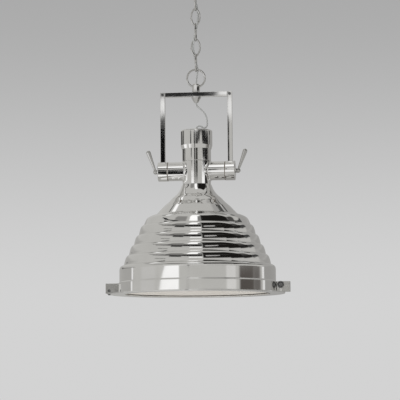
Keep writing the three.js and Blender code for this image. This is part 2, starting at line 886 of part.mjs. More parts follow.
// The slack under the gland hangs out to the right, almost down to the cap, and comes back into the grip.
// Its points are [x, y, share of the drop from the gland's tip to the top of the grip].
const slackShares = [
  [0.7, -0.2, 0.068], [3.6, -1.2, 0.145], [9, -2.9, 0.214], [15.4, -4.6, 0.289], [21.2, -5.8, 0.377],
  [25.9, -6.1, 0.479], [28.9, -5.6, 0.588], [30.2, -4.6, 0.686], [30.6, -3.4, 0.768], [30.4, -2.2, 0.832],
  [29.8, -1.1, 0.876], [28.3, 0, 0.913], [26, 1.2, 0.94], [23.1, 2.1, 0.953], [20.2, 2.8, 0.952],
  [17.5, 3.1, 0.938], [15.3, 3.1, 0.918], [13.1, 3, 0.899], [10.3, 2.6, 0.882], [7.3, 1.9, 0.881],
  [4.5, 1.2, 0.896], [2.2, 0.6, 0.921], [0.6, 0.1, 0.957],
];

function slackRoute() {
  const from = yokeUnder - seat - glandHeight;
  const to = capTop + seat + gripHeight;
  return [
    new THREE.Vector3(0, 0, yokeUnder - shankReach - seat),
    new THREE.Vector3(0, 0, from),
    ...slackShares.map(([x, y, down]) => new THREE.Vector3(x, y, from - down * (from - to))),
    new THREE.Vector3(0, 0, to),
    new THREE.Vector3(0, 0, capTop - capRoof),
    new THREE.Vector3(0, 0, holderTop + bridgeThickness + 2 * seat),
  ];
}

// Bezel and glass

// A rod along Y through a pin's place.
function pinLine(radius, low, high, x, level, facets = smallFacets) {
  return rodY(radius, low, high, facets, x, level);
}

const earShares = [0.7, 0.6]; // of the knuckle's radius outward, and of the hinge's height

function hingeEar() {
  const half = earWidth / 2;
  const [out, up] = earShares;
  const arm = block(hingeX - knuckleOuter * out, hingeX + hingeArm, -half, half, 0, hingeHeight * up);
  return join(arm, rodY(knuckleOuter, -half, half, armFacets, hingeX, hingeHeight));
}

function latchEar() {
  const half = earWidth / 2;
  const inner = lugInner + lugBase + seat;
  const top = latchHeight + pinRadius + earWall;
  const post = block(inner, bezelRadius - earInset, -half, half, bezelThickness / 2, top);
  return cut(post, pinLine(pinRadius + running, -half - overrun, half + overrun, latchX, latchHeight));
}

function bezelRing() {
  const inner = upstandRadius - upstandWall;
  const ring = turnedRing(
    [
      [bezelBore, 0],
      [bezelRadius, 0],
      [bezelRadius, bezelThickness],
      [upstandRadius, bezelThickness],
      [upstandRadius, bezelThickness + upstandHeight],
      [inner, bezelThickness + upstandHeight],
      [inner, bezelThickness],
      [bezelBore, bezelThickness],
    ],
    wideFacets,
  );
  const notchHalf = lugHalf + notchMargin;
  const notch = block(
    -bezelRadius - overrun,
    hingeX + hingeHeight + notchMargin,
    -notchHalf,
    notchHalf,
    -overrun,
    bezelThickness + overrun / 2,
  );
  const half = earWidth / 2;
  const pinHole = pinLine(pinRadius + running, -half - overrun, half + overrun, hingeX, hingeHeight);
  return cut(join(cut(ring, notch), hingeEar(), latchEar()), pinHole);
}

const paneRadius = upstandRadius - upstandWall - 2 * seat;
const gasketFoot = bezelThickness + seat;
const paneFoot = gasketFoot + gasketThickness + seat;
const snapFoot = paneFoot + glassThickness + seat;

function glassGasket() {
  const inner = paneRadius - gasketWidth;
  return flatRing(inner, paneRadius, gasketFoot, gasketFoot + gasketThickness, wideFacets);
}

function snapRing() {
  const inner = paneRadius - snapWidth;
  const top = snapFoot + snapThickness;
  const ring = flatRing(inner, paneRadius, snapFoot, top, wideFacets);
  const gapHalf = snapGap / 2;
  const [low, high] = [snapFoot - overrun, top + overrun];
  return cut(ring, block(-gapHalf, gapHalf, inner - overrun, paneRadius + overrun, low, high));
}

// Lugs of the hinge and the latch

const lugTop = lugLift + lugHeight;

// A rod along X through a bracket screw's place.
function bracketLine(radius, low, high) {
  return rodX(radius, low, high, smallFacets, 0, bracketScrewLevel);
}

function lugBlank() {
  const outer = hoopRadius + lugReach;
  const base = block(lugInner, lugInner + lugBase, -lugHalf, lugHalf, lugLift, lugTop);
  const cheeks = [-1, 1].map((face) => {
    const y = face * (lugGap / 2 + lugThickness / 2);
    const half = lugThickness / 2;
    return block(lugInner + lugBase / 2, outer, y - half, y + half, lugLift, lugTop);
  });
  const radius = bracketScrewRadius + running;
  return cut(join(base, ...cheeks), bracketLine(radius, lugInner - overrun, lugInner + lugBase + overrun));
}

const cutterHalf = lugHalf + overrun;

function hingeBracket() {
  const hole = pinLine(pinRadius + running, -cutterHalf, cutterHalf, hingeX, hingeHeight);
  return cut(sided(lugBlank(), -1), hole);
}

// Its slots are open below, so the ear of the bezel carries the screw out of them.
function latchBracket() {
  const half = pinRadius + 2 * running;
  const slot = block(latchX - half, latchX + half, -cutterHalf, cutterHalf, lugLift - overrun, latchHeight);
  return cut(lugBlank(), slot, pinLine(half, -cutterHalf, cutterHalf, latchX, latchHeight));
}

function hingePin() {
  const face = -lugHalf - seat;
  const shaft = pinLine(pinRadius, face - pinHeadHeight / 2, lugHalf + pinHeadHeight, hingeX, hingeHeight);
  return join(shaft, pinLine(pinHead, face - pinHeadHeight, face, hingeX, hingeHeight));
}

function latchScrew() {
  const face = -lugHalf - seat;
  const end = lugHalf + seat + latchNutHeight + overrun;
  const shaft = pinLine(pinRadius, face - knobHeight / 2, end, latchX, latchHeight);
  return join(shaft, pinLine(knobRadius, face - knobHeight, face, latchX, latchHeight, armFacets));
}

function latchNut() {
  const face = lugHalf + seat;
  const nut = pinLine(latchNutRadius, face, face + latchNutHeight, latchX, latchHeight, hexFacets);
  const end = face + latchNutHeight + overrun;
  return cut(nut, pinLine(pinRadius + running, face - overrun, end, latchX, latchHeight));
}

function bracketScrew(side) {
  const face = hoopRadius - shadeWall - 2 * seat;
  const shaft = bracketLine(bracketScrewRadius, face - bracketScrewHeadHeight / 2, lugInner + lugBase);
  const head = bracketLine(bracketScrewHead, face - bracketScrewHeadHeight, face);
  return sided(join(shaft, head), side);
}

// Assembly

piece("ceiling_plate", ceilingPlate(), darkSteel);
piece("ceiling_canopy", canopy(), polished);
piece("canopy_loop", canopyLoop(), polished);
piece("canopy_cord_bush", canopyBush(), rubber);
piece("terminal_block", terminalBlock(), plastic);
for (let i = 1; i <= linkCount; i += 1) piece(`chain_link_${i}`, chainLink(i), polished);
piece("hanging_ring", hangingRing(), polished);
piece("eye_stud", eyeStud(), polished);
piece("yoke_top_bar", topBar(), polished);
piece("cord_gland", cordGland(), polished);
for (const [word, side] of [["left", -1], ["right", 1]]) {
  piece(`yoke_side_bar_${word}`, sideBar(side), polished);
  piece(`yoke_corner_screw_${word}`, cornerScrew(side), polished);
  piece(`clamp_hub_${word}`, hub(side), polished);
  piece(`friction_washer_${word}`, frictionWasher(side), fibre);
  piece(`clamp_screw_${word}`, clampScrew(side), polished);
  piece(`clamp_handle_${word}`, clampHandle(side), polished);
  piece(`bracket_screw_${word}`, bracketScrew(side), darkSteel);
}
piece("neck_housing", neckHousing(), polished);
piece("neck_sleeve", sleeve(), polished);
piece("neck_cap", cap(), polished);
piece("cap_cord_grip", capGrip(), polished);
piece("holder_bridge", bridge(), darkSteel);
piece("lamp_holder", lampHolder(), porcelain);
piece("bulb_cap", bulbCap(), polished);
piece("bulb_glass", bulbGlass(), frosted);
piece("shade", shadeSolid(), polished);
piece("shade_nut", shadeNut(), darkSteel);
piece("hinge_bracket", hingeBracket(), polished);
piece("hinge_pin", hingePin(), polished);
piece("latch_bracket", latchBracket(), polished);
piece("latch_screw", latchScrew(), polished);
piece("latch_nut", latchNut(), polished);
piece("bezel_ring", bezelRing(), polished);
piece("glass_gasket", glassGasket(), rubber);
piece("glass_pane", rodZ(paneRadius, paneFoot, paneFoot + glassThickness, wideFacets), frosted);
piece("glass_snap_ring", snapRing(), darkSteel);
piece("cord_chain", tube(upperCordRoute(), cordRadius, cordSteps, cordSides), clearCord);
piece("cord_slack", tube(slackRoute(), cordRadius, slackSteps, cordSides), clearCord);

const pendant = new THREE.Group();
for (const { name, made, finish } of pieces) {
  const { vertProperties, triVerts } = made.getMesh();
  const geometry = new THREE.BufferGeometry();
  geometry.setAttribute("position", new THREE.BufferAttribute(vertProperties, 3));
  geometry.setIndex(new THREE.BufferAttribute(triVerts, 1));
  const mesh = new THREE.Mesh(geometry, new THREE.MeshStandardMaterial({ ...finish, flatShading: true }));
  mesh.name = name;
  pendant.add(mesh);
}
pendant.position.z = -ceiling;

export default pendant;
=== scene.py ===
"""A ribbed metal pendant light on its chain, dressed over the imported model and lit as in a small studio."""
import logging
import math
from dataclasses import dataclass
from enum import Enum
from itertools import accumulate

import bmesh
import bpy
from mathutils import Matrix, Vector


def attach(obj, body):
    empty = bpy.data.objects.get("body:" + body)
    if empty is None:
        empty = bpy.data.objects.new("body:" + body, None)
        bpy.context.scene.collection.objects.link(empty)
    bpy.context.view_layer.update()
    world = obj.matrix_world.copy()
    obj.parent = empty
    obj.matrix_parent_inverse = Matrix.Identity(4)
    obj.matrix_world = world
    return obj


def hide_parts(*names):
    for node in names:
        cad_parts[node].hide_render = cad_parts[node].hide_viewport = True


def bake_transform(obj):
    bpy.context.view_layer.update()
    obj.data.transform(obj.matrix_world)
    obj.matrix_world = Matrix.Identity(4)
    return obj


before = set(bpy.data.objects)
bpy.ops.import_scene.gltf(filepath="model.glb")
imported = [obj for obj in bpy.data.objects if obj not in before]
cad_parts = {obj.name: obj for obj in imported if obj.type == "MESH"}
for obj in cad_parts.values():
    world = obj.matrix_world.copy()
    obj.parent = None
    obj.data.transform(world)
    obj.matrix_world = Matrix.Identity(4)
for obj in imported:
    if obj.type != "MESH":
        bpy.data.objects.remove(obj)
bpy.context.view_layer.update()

log = logging.getLogger("pendant")

Socket = bpy.types.NodeSocket
Piece = bpy.types.Object
Pair = tuple[float, float]
Triple = tuple[float, float, float]
Outline = list[Pair]

MM = 0.001
CEILING = 900.2  # height of the ceiling over the bezel's underside, in mm
CORNER_SHARE = 0.49  # how much of a side one rounded corner may take


def up(height: float) -> float:
    """Turns a height over the bezel's underside in mm into the frame's z in metres."""
    return (height - CEILING) * MM


def at(x: float, y: float, height: float) -> Vector:
    """Gives the frame point in metres for x and y in mm and a height over the bezel's underside."""
    return Vector((x * MM, y * MM, up(height)))


def add_object(name: str, data: bpy.types.ID) -> Piece:
    """Makes an object of a mesh, camera or lamp in the scene.

    Args:
        name: The object's name.
        data: What it shows.

    Returns:
        The object.
    """
    made = bpy.data.objects.new(name, data)
    bpy.context.scene.collection.objects.link(made)
    return made


def mesh_of(shell: bmesh.types.BMesh, name: str) -> bpy.types.Mesh:
    """Writes an edited shell into a new mesh and frees it.

    Args:
        shell: The shell.
        name: The mesh's name.

    Returns:
        The mesh.
    """
    mesh = bpy.data.meshes.new(name)
    shell.to_mesh(mesh)
    shell.free()
    return mesh


def shade(mesh: bpy.types.Mesh, sharp: float) -> None:
    """Shades a mesh smooth but for the edges past an angle in degrees."""
    mesh.shade_smooth()
    mesh.set_sharp_from_angle(angle=math.radians(sharp))


def evaluated(thing: Piece) -> bpy.types.Mesh:
    """Gives an object's mesh with its modifiers applied."""
    bpy.context.view_layer.update()
    return bpy.data.meshes.new_from_object(thing.evaluated_get(bpy.context.evaluated_depsgraph_get()))


def settle(piece: Piece) -> None:
    """Turns a piece's modifiers into its plain mesh.

    Args:
        piece: The piece, which keeps no modifiers.
    """
    mesh = evaluated(piece)
    piece.modifiers.clear()
    piece.data = mesh
    mesh.name = piece.name


class Slot(Enum):
    """The record's material slots."""

    POLISHED = "polished_metal"
    STEEL = "plain_steel"
    CORD = "cord_jacket"
    GLASS = "frosted_glass"
    RUBBER = "black_rubber"
    PORCELAIN = "porcelain"
    PLASTIC = "pale_plastic"
    FIBRE = "washer_fibre"
    BULB_METAL = "bulb_metal"


class Side(Enum):
    """The two sides of the lamp, as the sign of x."""

    LEFT = -1
    RIGHT = 1

    @property
    def word(self) -> str:
        """The side's word in the nodes' names."""
        return self.name.lower()


class Facing(Enum):
    """The direction in which a turned piece's own axis points."""

    UP = "up"
    RIGHT = "right"
    NEAR = "near"

    def matrix(self) -> Matrix:
        """Gives this direction as a turn.

        Returns:
            The turn that brings +Z to it.
        """
        if self is Facing.RIGHT:
            return Matrix.Rotation(math.pi / 2, 4, "Y")
        if self is Facing.NEAR:
            return Matrix.Rotation(math.pi / 2, 4, "X")
        return Matrix.Identity(4)


class Boolean(Enum):
    """What becomes of a piece when it meets another one."""

    JOIN = "UNION"
    CUT = "DIFFERENCE"


# Finishes


class Nodes:
    """A small helper that adds nodes to one tree and links them."""

    def __init__(self, tree: bpy.types.NodeTree) -> None:
        """Keeps the tree that the nodes go into: a material's, the world's or a Geometry Nodes tree."""
        self.tree = tree

    def add(self, kind: str, **settings: object) -> bpy.types.Node:
        """Adds a node and sets its properties.

        Args:
            kind: The node's type identifier.
            settings: Properties of the node.

        Returns:
            The new node.
        """
        node = self.tree.nodes.new(kind)
        for name, value in settings.items():
            setattr(node, name, value)
        return node

    def link(self, source: Socket, target: Socket) -> None:
        """Links an output to an input."""
        self.tree.links.new(source, target)

    def feed(self, node: bpy.types.Node, *values: object, **named: object) -> Socket:
        """Feeds a node's inputs.

        Args:
            node: The node.
            values: Sockets or plain values for its first inputs, in their order.
            named: Sockets or plain values by the inputs' names, with underscores for spaces.

        Returns:
            The node's first output.
        """
        inputs = [*zip(node.inputs, values), *((node.inputs[n.replace("_", " ")], v) for n, v in named.items())]
        for socket, value in inputs:
            if isinstance(value, Socket):
                self.link(value, socket)
            else:
                socket.default_value = value
        return node.outputs[0]

    def math(self, operation: str, *values: object) -> Socket:
        """Adds a Math node fed by sockets or numbers, and gives its output."""
        return self.feed(self.add("ShaderNodeMath", operation=operation), *values)

    def split(self, vector: Socket) -> tuple[Socket, ...]:
        """Gives a vector's three coordinates.

        Args:
            vector: The vector.

        Returns:
            x, y and z.
        """
        node = self.add("ShaderNodeSeparateXYZ")
        self.link(vector, node.inputs[0])
        return tuple(node.outputs)

    def spread(self, source: Socket, low: float, high: float, to_low: float = 0.0,
               to_high: float = 1.0, smooth: bool = False) -> Socket:
        """Maps a value from one range to another.

        Args:
            source: The value.
            low: The value that becomes to_low.
            high: The value that becomes to_high.
            to_low: The first value of the new range.
            to_high: The last value of the new range.
            smooth: Whether the change eases in and out.

        Returns:
            The mapped value.
        """
        node = self.add("ShaderNodeMapRange", interpolation_type="SMOOTHSTEP" if smooth else "LINEAR")
        return self.feed(node, Value=source, From_Min=low, From_Max=high, To_Min=to_low, To_Max=to_high)


class Surface:
    """One material under construction: its shader, its object coordinates and its bumps."""

    GLOSS_SPAN = (0.3, 0.7)  # a noise's values lie round the middle, and these become 0 and 1
    TINT_SPAN = (0.35, 0.65)

    def __init__(self, name: str) -> None:
        """Makes the material with one Principled shader.

        Args:
            name: The material's name.
        """
        self.material = bpy.data.materials.new(name)
        self.material.use_nodes = True
        self.nodes = Nodes(self.material.node_tree)
        self.shader = next(n for n in self.material.node_tree.nodes if n.type == "BSDF_PRINCIPLED")
        self.place = self.nodes.add("ShaderNodeTexCoord").outputs["Object"]
        self.normal: Socket | None = None

    def set(self, **values: object) -> "Surface":
        """Sets the shader's own sockets.

        Args:
            values: A value for each socket, by its name with underscores for spaces.

        Returns:
            The surface itself.
        """
        for name, value in values.items():
            self.shader.inputs[name.replace("_", " ")].default_value = value
        return self

    def noise(self, size: float, detail: float = 3.0, stretch: Triple = (1, 1, 1)) -> Socket:
        """Adds a noise of a given grain.

        Args:
            size: The size of the noise's features in metres.
            detail: The octaves of finer noise.
            stretch: A scale for each axis.

        Returns:
            The noise's value.
        """
        nodes = self.nodes
        place = nodes.feed(nodes.add("ShaderNodeMapping"), Vector=self.place, Scale=stretch)
        return nodes.feed(nodes.add("ShaderNodeTexNoise"), Vector=place, Scale=1 / size, Detail=detail)

    def bump(self, height: Socket, depth: float, strength: float = 1.0) -> None:
        """Adds a bump over the ones before it.

        Args:
            height: A value from 0 to 1.
            depth: The height of the relief in metres.
            strength: The share of it that shows.
        """
        before = {} if self.normal is None else {"Normal": self.normal}
        self.normal = self.nodes.feed(self.nodes.add("ShaderNodeBump"), Strength=strength, Distance=depth,
                                      Height=height, **before)
        self.nodes.link(self.normal, self.shader.inputs["Normal"])

    def vary(self, socket: str, source: Socket, low: float, high: float) -> None:
        """Drives a shader socket from a noise between two values."""
        self.nodes.link(self.nodes.spread(source, *self.GLOSS_SPAN, low, high), self.shader.inputs[socket])

    def tint(self, source: Socket, low: tuple[float, ...], high: tuple[float, ...]) -> None:
        """Drives the base colour from a noise between two colours.

        Args:
            source: A value from 0 to 1.
            low: The colour at 0.
            high: The colour at 1.
        """
        mix = self.nodes.add("ShaderNodeMix", data_type="RGBA")
        mix.inputs["A"].default_value = (*low, 1)
        mix.inputs["B"].default_value = (*high, 1)
        self.nodes.link(self.nodes.spread(source, *self.TINT_SPAN), mix.inputs["Factor"])
        self.nodes.link(mix.outputs[2], self.shader.inputs["Base Color"])


@dataclass(frozen=True)
class MetalFinish:
    """A metal: polished plating, spun sheet, turned bar or plain steel."""

    name: str
    slot: Slot
    clean: Triple
    worn: Triple
    gloss: float
    haze: float
    ripple: float = 0.0
    ripple_size: float = 0.05
    grain: float = 0.0
    grain_stretch: Triple = (1, 1, 1)
    patch_size: float = 0.035
    tone_size: float = 0.06
    grain_size: float = 0.0012

    def build(self) -> bpy.types.Material:
        """Makes the material.

        Returns:
            A metal whose polish, tone and flatness vary a little over the surface.
        """
        surface = Surface(self.name).set(Metallic=1.0)
        surface.tint(surface.noise(self.tone_size), self.worn, self.clean)
        surface.vary("Roughness", surface.noise(self.patch_size, 4), self.gloss, self.haze)
        if self.ripple:
            surface.bump(surface.noise(self.ripple_size, 1), self.ripple)
        if self.grain:
            surface.bump(surface.noise(self.grain_size, 2, self.grain_stretch), self.grain)
        return surface.material


@dataclass(frozen=True)
class GlassFinish:
    """A pane or bulb of frosted glass."""

    name: str
    slot: Slot
    tint: Triple
    roughness: float
    transmission: float
    grit: float
    cloud: Triple = (0.96, 0.955, 0.94)  # what cloudier patches keep of the tint
    cloud_size: float = 0.09
    gloss_size: float = 0.02
    grit_size: float = 0.0006
    unevenness: float = 0.2

    def build(self) -> bpy.types.Material:
        """Makes the material.

        Returns:
            A milky glass with a fine frosted grain.
        """
        surface = Surface(self.name).set(IOR=1.5, Transmission_Weight=self.transmission)
        cloudy = tuple(tone * share for tone, share in zip(self.tint, self.cloud))
        surface.tint(surface.noise(self.cloud_size, 2), cloudy, self.tint)
        surface.vary("Roughness", surface.noise(self.gloss_size), self.roughness * (1 - self.unevenness),
                     self.roughness * (1 + self.unevenness))
        surface.bump(surface.noise(self.grit_size, 2), self.grit)
        return surface.material


@dataclass(frozen=True)
class MouldedFinish:
    """A matt or glazed material: rubber, porcelain, plastic or fibre."""

    name: str
    slot: Slot
    light: Triple
    dark: Triple
    roughness: float
    grain_size: float
    grain: float
    coat: float = 0.0
    unevenness: float = 0.15

    def build(self) -> bpy.types.Material:
        """Makes the material.

        Returns:
            A material with mottled colour, uneven gloss and a fine grain.
        """
        surface = Surface(self.name).set(Coat_Weight=self.coat, Coat_Roughness=0.08)
        surface.tint(surface.noise(self.grain_size * 6, 4), self.dark, self.light)
        surface.vary("Roughness", surface.noise(self.grain_size * 3), self.roughness * (1 - self.unevenness),
                     min(self.roughness * (1 + self.unevenness), 1))
        surface.bump(surface.noise(self.grain_size, 2), self.grain)
        return surface.material


@dataclass(frozen=True)
class CordFinish:
    """A clear jacket over silver-grey twisted cores, which follow the cord by its UV map."""

    name: str
    slot: Slot
    silver: Triple
    shadow: Triple
    twists_a_metre: float
    braid: float = 60.0
    braid_share: float = 0.25
    relief: float = 0.00002
    relief_share: float = 0.3

    def build(self) -> bpy.types.Material:
        """Makes the material.

        Returns:
            A glossy coated surface with two cores that wind round each other under it.
        """
        surface = Surface(self.name).set(Roughness=0.4, Coat_Weight=0.8, Coat_Roughness=0.1)
        nodes = surface.nodes
        length, turn, _ = nodes.split(nodes.add("ShaderNodeUVMap", uv_map="cord").outputs["UV"])
        phase = nodes.math("ADD", nodes.math("MULTIPLY", length, self.twists_a_metre), turn)
        wave = nodes.math("SINE", nodes.math("MULTIPLY", phase, 4 * math.pi))
        cores = nodes.spread(wave, -1, 1)
        along = nodes.math("SUBTRACT", phase, turn)
        braid = nodes.spread(nodes.math("SINE", nodes.math("MULTIPLY", along, self.braid)), -1, 1, 0, self.braid_share)
        surface.tint(nodes.math("ADD", nodes.math("MULTIPLY", cores, 1 - self.braid_share), braid), self.shadow,
                     self.silver)
        surface.bump(cores, self.relief, self.relief_share)
        return surface.material


Finish = MetalFinish | GlassFinish | MouldedFinish | CordFinish

CLEAN, WORN = (0.80, 0.795, 0.785), (0.765, 0.76, 0.75)
SPUN = MetalFinish("spun polished shade", Slot.POLISHED, CLEAN, WORN, 0.04, 0.08, 0.00010, 0.07)
CAST = MetalFinish("polished casting", Slot.POLISHED, CLEAN, WORN, 0.03, 0.07, 0.00003, 0.03)
BAR = MetalFinish("polished square bar", Slot.POLISHED, CLEAN, WORN, 0.02, 0.05, 0.00003, 0.04)
# painted reflection: this copy of the polished metal is darkened so that the chain, the ring and the levers show dark
# reflections of the room in their own colour
WIRE_PAINTED_DARK = MetalFinish("polished steel", Slot.POLISHED, (0.60, 0.595, 0.585), (0.52, 0.515, 0.505), 0.03, 0.07)
SMALL = MetalFinish("polished fittings", Slot.POLISHED, (0.70, 0.695, 0.685), (0.64, 0.635, 0.625), 0.03, 0.07)
# painted reflection: the corner screws, the hinge pin and the thumbscrew are made nearly black so that they show dark
# reflections of the room in their own colour
SCREW_PAINTED_DARK = MetalFinish("screw painted dark for its reflection", Slot.POLISHED, (0.20, 0.20, 0.20), (0.13, 0.13, 0.13), 0.05, 0.12)
# darker and less glossy than the other polished parts
LUG = MetalFinish("dull cast lug", Slot.POLISHED, (0.60, 0.595, 0.58), (0.52, 0.515, 0.50), 0.09, 0.18)
ZINC = MetalFinish("zinc-plated steel", Slot.STEEL, (0.60, 0.60, 0.58), (0.48, 0.48, 0.47), 0.28, 0.42, 0, 0.05,
                   0.00002, (1, 6, 1))
NICKEL_CAP = MetalFinish("bulb cap metal", Slot.BULB_METAL, (0.80, 0.80, 0.79), (0.70, 0.70, 0.69), 0.2, 0.32)
PANE = GlassFinish("frosted pane", Slot.GLASS, (0.96, 0.91, 0.85), 0.42, 0.12, 0.00001)
BULB = GlassFinish("pearl bulb", Slot.GLASS, (0.95, 0.94, 0.90), 0.3, 0.15, 0.000004)
RUBBER = MouldedFinish("black rubber", Slot.RUBBER, (0.05, 0.05, 0.052), (0.03, 0.03, 0.03), 0.7, 0.0015, 0.00003)
PORCELAIN = MouldedFinish("glazed porcelain", Slot.PORCELAIN, (0.88, 0.87, 0.83), (0.82, 0.81, 0.77), 0.3, 0.004,
                          0.00001, 0.8)
PLASTIC = MouldedFinish("moulded plastic", Slot.PLASTIC, (0.80, 0.79, 0.75), (0.72, 0.71, 0.68), 0.5, 0.001, 0.00001)
FIBRE = MouldedFinish("pressed fibre", Slot.FIBRE, (0.42, 0.34, 0.26), (0.30, 0.24, 0.18), 0.85, 0.0008, 0.00005)
CORD = CordFinish("clear jacket over silver cores", Slot.CORD, (0.64, 0.65, 0.645), (0.55, 0.56, 0.56), 60)


class Workshop:
    """Keeps the materials that are made, and hands finished pieces to the frame."""

    def __init__(self) -> None:
        """Starts with no materials."""
        self.materials: dict[str, bpy.types.Material] = {}

    def material(self, finish: Finish) -> bpy.types.Material:
        """Gives a finish's material, made on first use.

        Args:
            finish: The finish.

        Returns:
            Its material.
        """
        if finish.name not in self.materials:
            self.materials[finish.name] = finish.build()
        return self.materials[finish.name]

    def paint(self, piece: Piece, finish: Finish) -> None:
        """Gives a piece one finish.

        Args:
            piece: The piece.
            finish: Its finish.
        """
        piece.data.materials.clear()
        piece.data.materials.append(self.material(finish))

    def hand_over(self, piece: Piece, finish: Finish, body: str, node: str) -> None:
        """Paints a piece, lets it ride on its body and hides the CAD node that it stands for.

        Args:
            piece: The finished piece, in place.
            finish: Its finish.
            body: The body that carries it.
            node: The CAD node that it replaces.
        """
        self.even_out(piece)
        self.paint(piece, finish)
        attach(piece, body)
        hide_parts(node)
        log.info("%s rides on %s, %d faces", piece.name, body, len(piece.data.polygons))

    def even_out(self, piece: Piece) -> None:
        """Lets a piece's shading follow its widest faces, so that small fillets don't tilt wide flats.

        Args:
            piece: The piece, which has no modifiers and keeps none.
        """
        modifier = piece.modifiers.new("even normals", "WEIGHTED_NORMAL")
        modifier.mode, modifier.keep_sharp = "FACE_AREA", True
        settle(piece)


# Shapes


def curve_through(points: list[Vector], spacing: float) -> list[Vector]:
    """Gives close points on the smooth curve through a few points, with no overshoot at its bends.

    Args:
        points: The points that it passes.
        spacing: About how far apart the close points are.

    Returns:
        The close points, the first and the last included.
    """
    knots = [points[0] * 2 - points[1], *points, points[-1] * 2 - points[-2]]
    line = []
    for a, b, c, d in zip(knots, knots[1:], knots[2:], knots[3:]):
        spans = [math.sqrt((q - p).length) for p, q in ((a, b), (b, c), (c, d))]
        start = ((b - a) / spans[0] - (c - a) / (spans[0] + spans[1]) + (c - b) / spans[1]) * spans[1]
        end = ((c - b) / spans[1] - (d - b) / (spans[1] + spans[2]) + (d - c) / spans[2]) * spans[1]
        steps = max(1, round((c - b).length / spacing))
        for step in range(steps):
            t = step / steps
            line.append(b + start * t + (c * 3 - b * 3 - start * 2 - end) * t * t
                        + (b * 2 - c * 2 + start + end) * t * t * t)
    line.append(knots[-2])
    return line


def eased(points: Outline, spacing: float = 1.5) -> Outline:
    """Gives close points on the smooth curve through an outline's (radius, height) points."""
    return [(p.x, p.y) for p in curve_through([Vector((r, h, 0)) for r, h in points], spacing)]


def rounded(*points: tuple[float, ...], closed: bool = True, steps: int = 4) -> Outline:
    """Rounds an outline's corners.

    Args:
        points: (radius, height), or (radius, height, corner radius) where the corner is round.
        closed: Whether the outline closes on itself.
        steps: The facets over a corner.

    Returns:
        The outline.
    """
    made: Outline = []
    for place, point in enumerate(points):
        corner = Vector(point[:2])
        if len(point) == 2 or (not closed and place in (0, len(points) - 1)):
            made.append(tuple(corner))
            continue
        before = Vector(points[place - 1][:2]) - corner
        after = Vector(points[(place + 1) % len(points)][:2]) - corner
        reach = min(point[2] / math.tan(before.angle(after) / 2), before.length * CORNER_SHARE,
                    after.length * CORNER_SHARE)
        start, end = corner + before.normalized() * reach, corner + after.normalized() * reach
        for step in range(steps + 1):
            t = step / steps
            made.append(tuple(start * (1 - t) ** 2 + corner * 2 * t * (1 - t) + end * t * t))
    return made


def tube_section(bore: float, radius: float, low: float, high: float, edges: Pair, steps: int = 4) -> Outline:
    """Gives a plain tube's section between two heights, its edges rounded by one radius inside and one outside."""
    inner, outer = edges
    return rounded((bore, low, inner), (radius, low, outer), (radius, high, outer), (bore, high, inner), steps=steps)


def inset(points: Outline, distance: float) -> Outline:
    """Moves an outline square to itself.

    Args:
        points: The outline.
        distance: How far it moves, to the right of its way.

    Returns:
        The moved outline.
    """
    moved = []
    for place, point in enumerate(points):
        way = Vector(points[min(place + 1, len(points) - 1)]) - Vector(points[max(place - 1, 0)])
        moved.append(tuple(Vector(point) + Vector((way.y, -way.x)).normalized() * distance))
    return moved


def arc(centre: Pair, radius: float, start: float, end: float, steps: int = 12) -> Outline:
    """Gives an arc's points, between two angles in degrees from the direction of the radius."""
    turns = [math.radians(start + (end - start) * i / steps) for i in range(steps + 1)]
    return [(centre[0] + radius * math.cos(t), centre[1] + radius * math.sin(t)) for t in turns]


def rings_round(line: list[Vector], radius: float, sides: int) -> list[list[Vector]]:
    """Gives a ring of surface points round each point of a line, without twist.

    Args:
        line: The points.
        radius: The rings' radius in metres.
        sides: The points of a ring.

    Returns:
        One list of points for each.
    """
    ways = [(line[min(i + 1, len(line) - 1)] - line[max(i - 1, 0)]).normalized() for i in range(len(line))]
    across = ways[0].orthogonal().normalized()
    rings = []
    for point, way in zip(line, ways):
        across = (across - way * across.dot(way)).normalized()
        other = way.cross(across)
        turns = [2 * math.pi * k / sides for k in range(sides)]
        rings.append([point + (across * math.cos(t) + other * math.sin(t)) * radius for t in turns])
    return rings


def tube_mesh(name: str, rings: list[list[Vector]]) -> bpy.types.Mesh:
    """Makes a closed tube of rings of points.

    Args:
        name: The mesh's name.
        rings: The rings, in order.

    Returns:
        The mesh. Ring r's point k is vertex r times the ring's size plus k.
    """
    count = len(rings[0])
    faces = [(i * count + k, i * count + (k + 1) % count, (i + 1) * count + (k + 1) % count, (i + 1) * count + k)
             for i in range(len(rings) - 1) for k in range(count)]
    last = (len(rings) - 1) * count
    faces += [tuple(reversed(range(count))), tuple(range(last, last + count))]
    mesh = bpy.data.meshes.new(name)
    mesh.from_pydata([p for ring in rings for p in ring], [], faces)
    return mesh


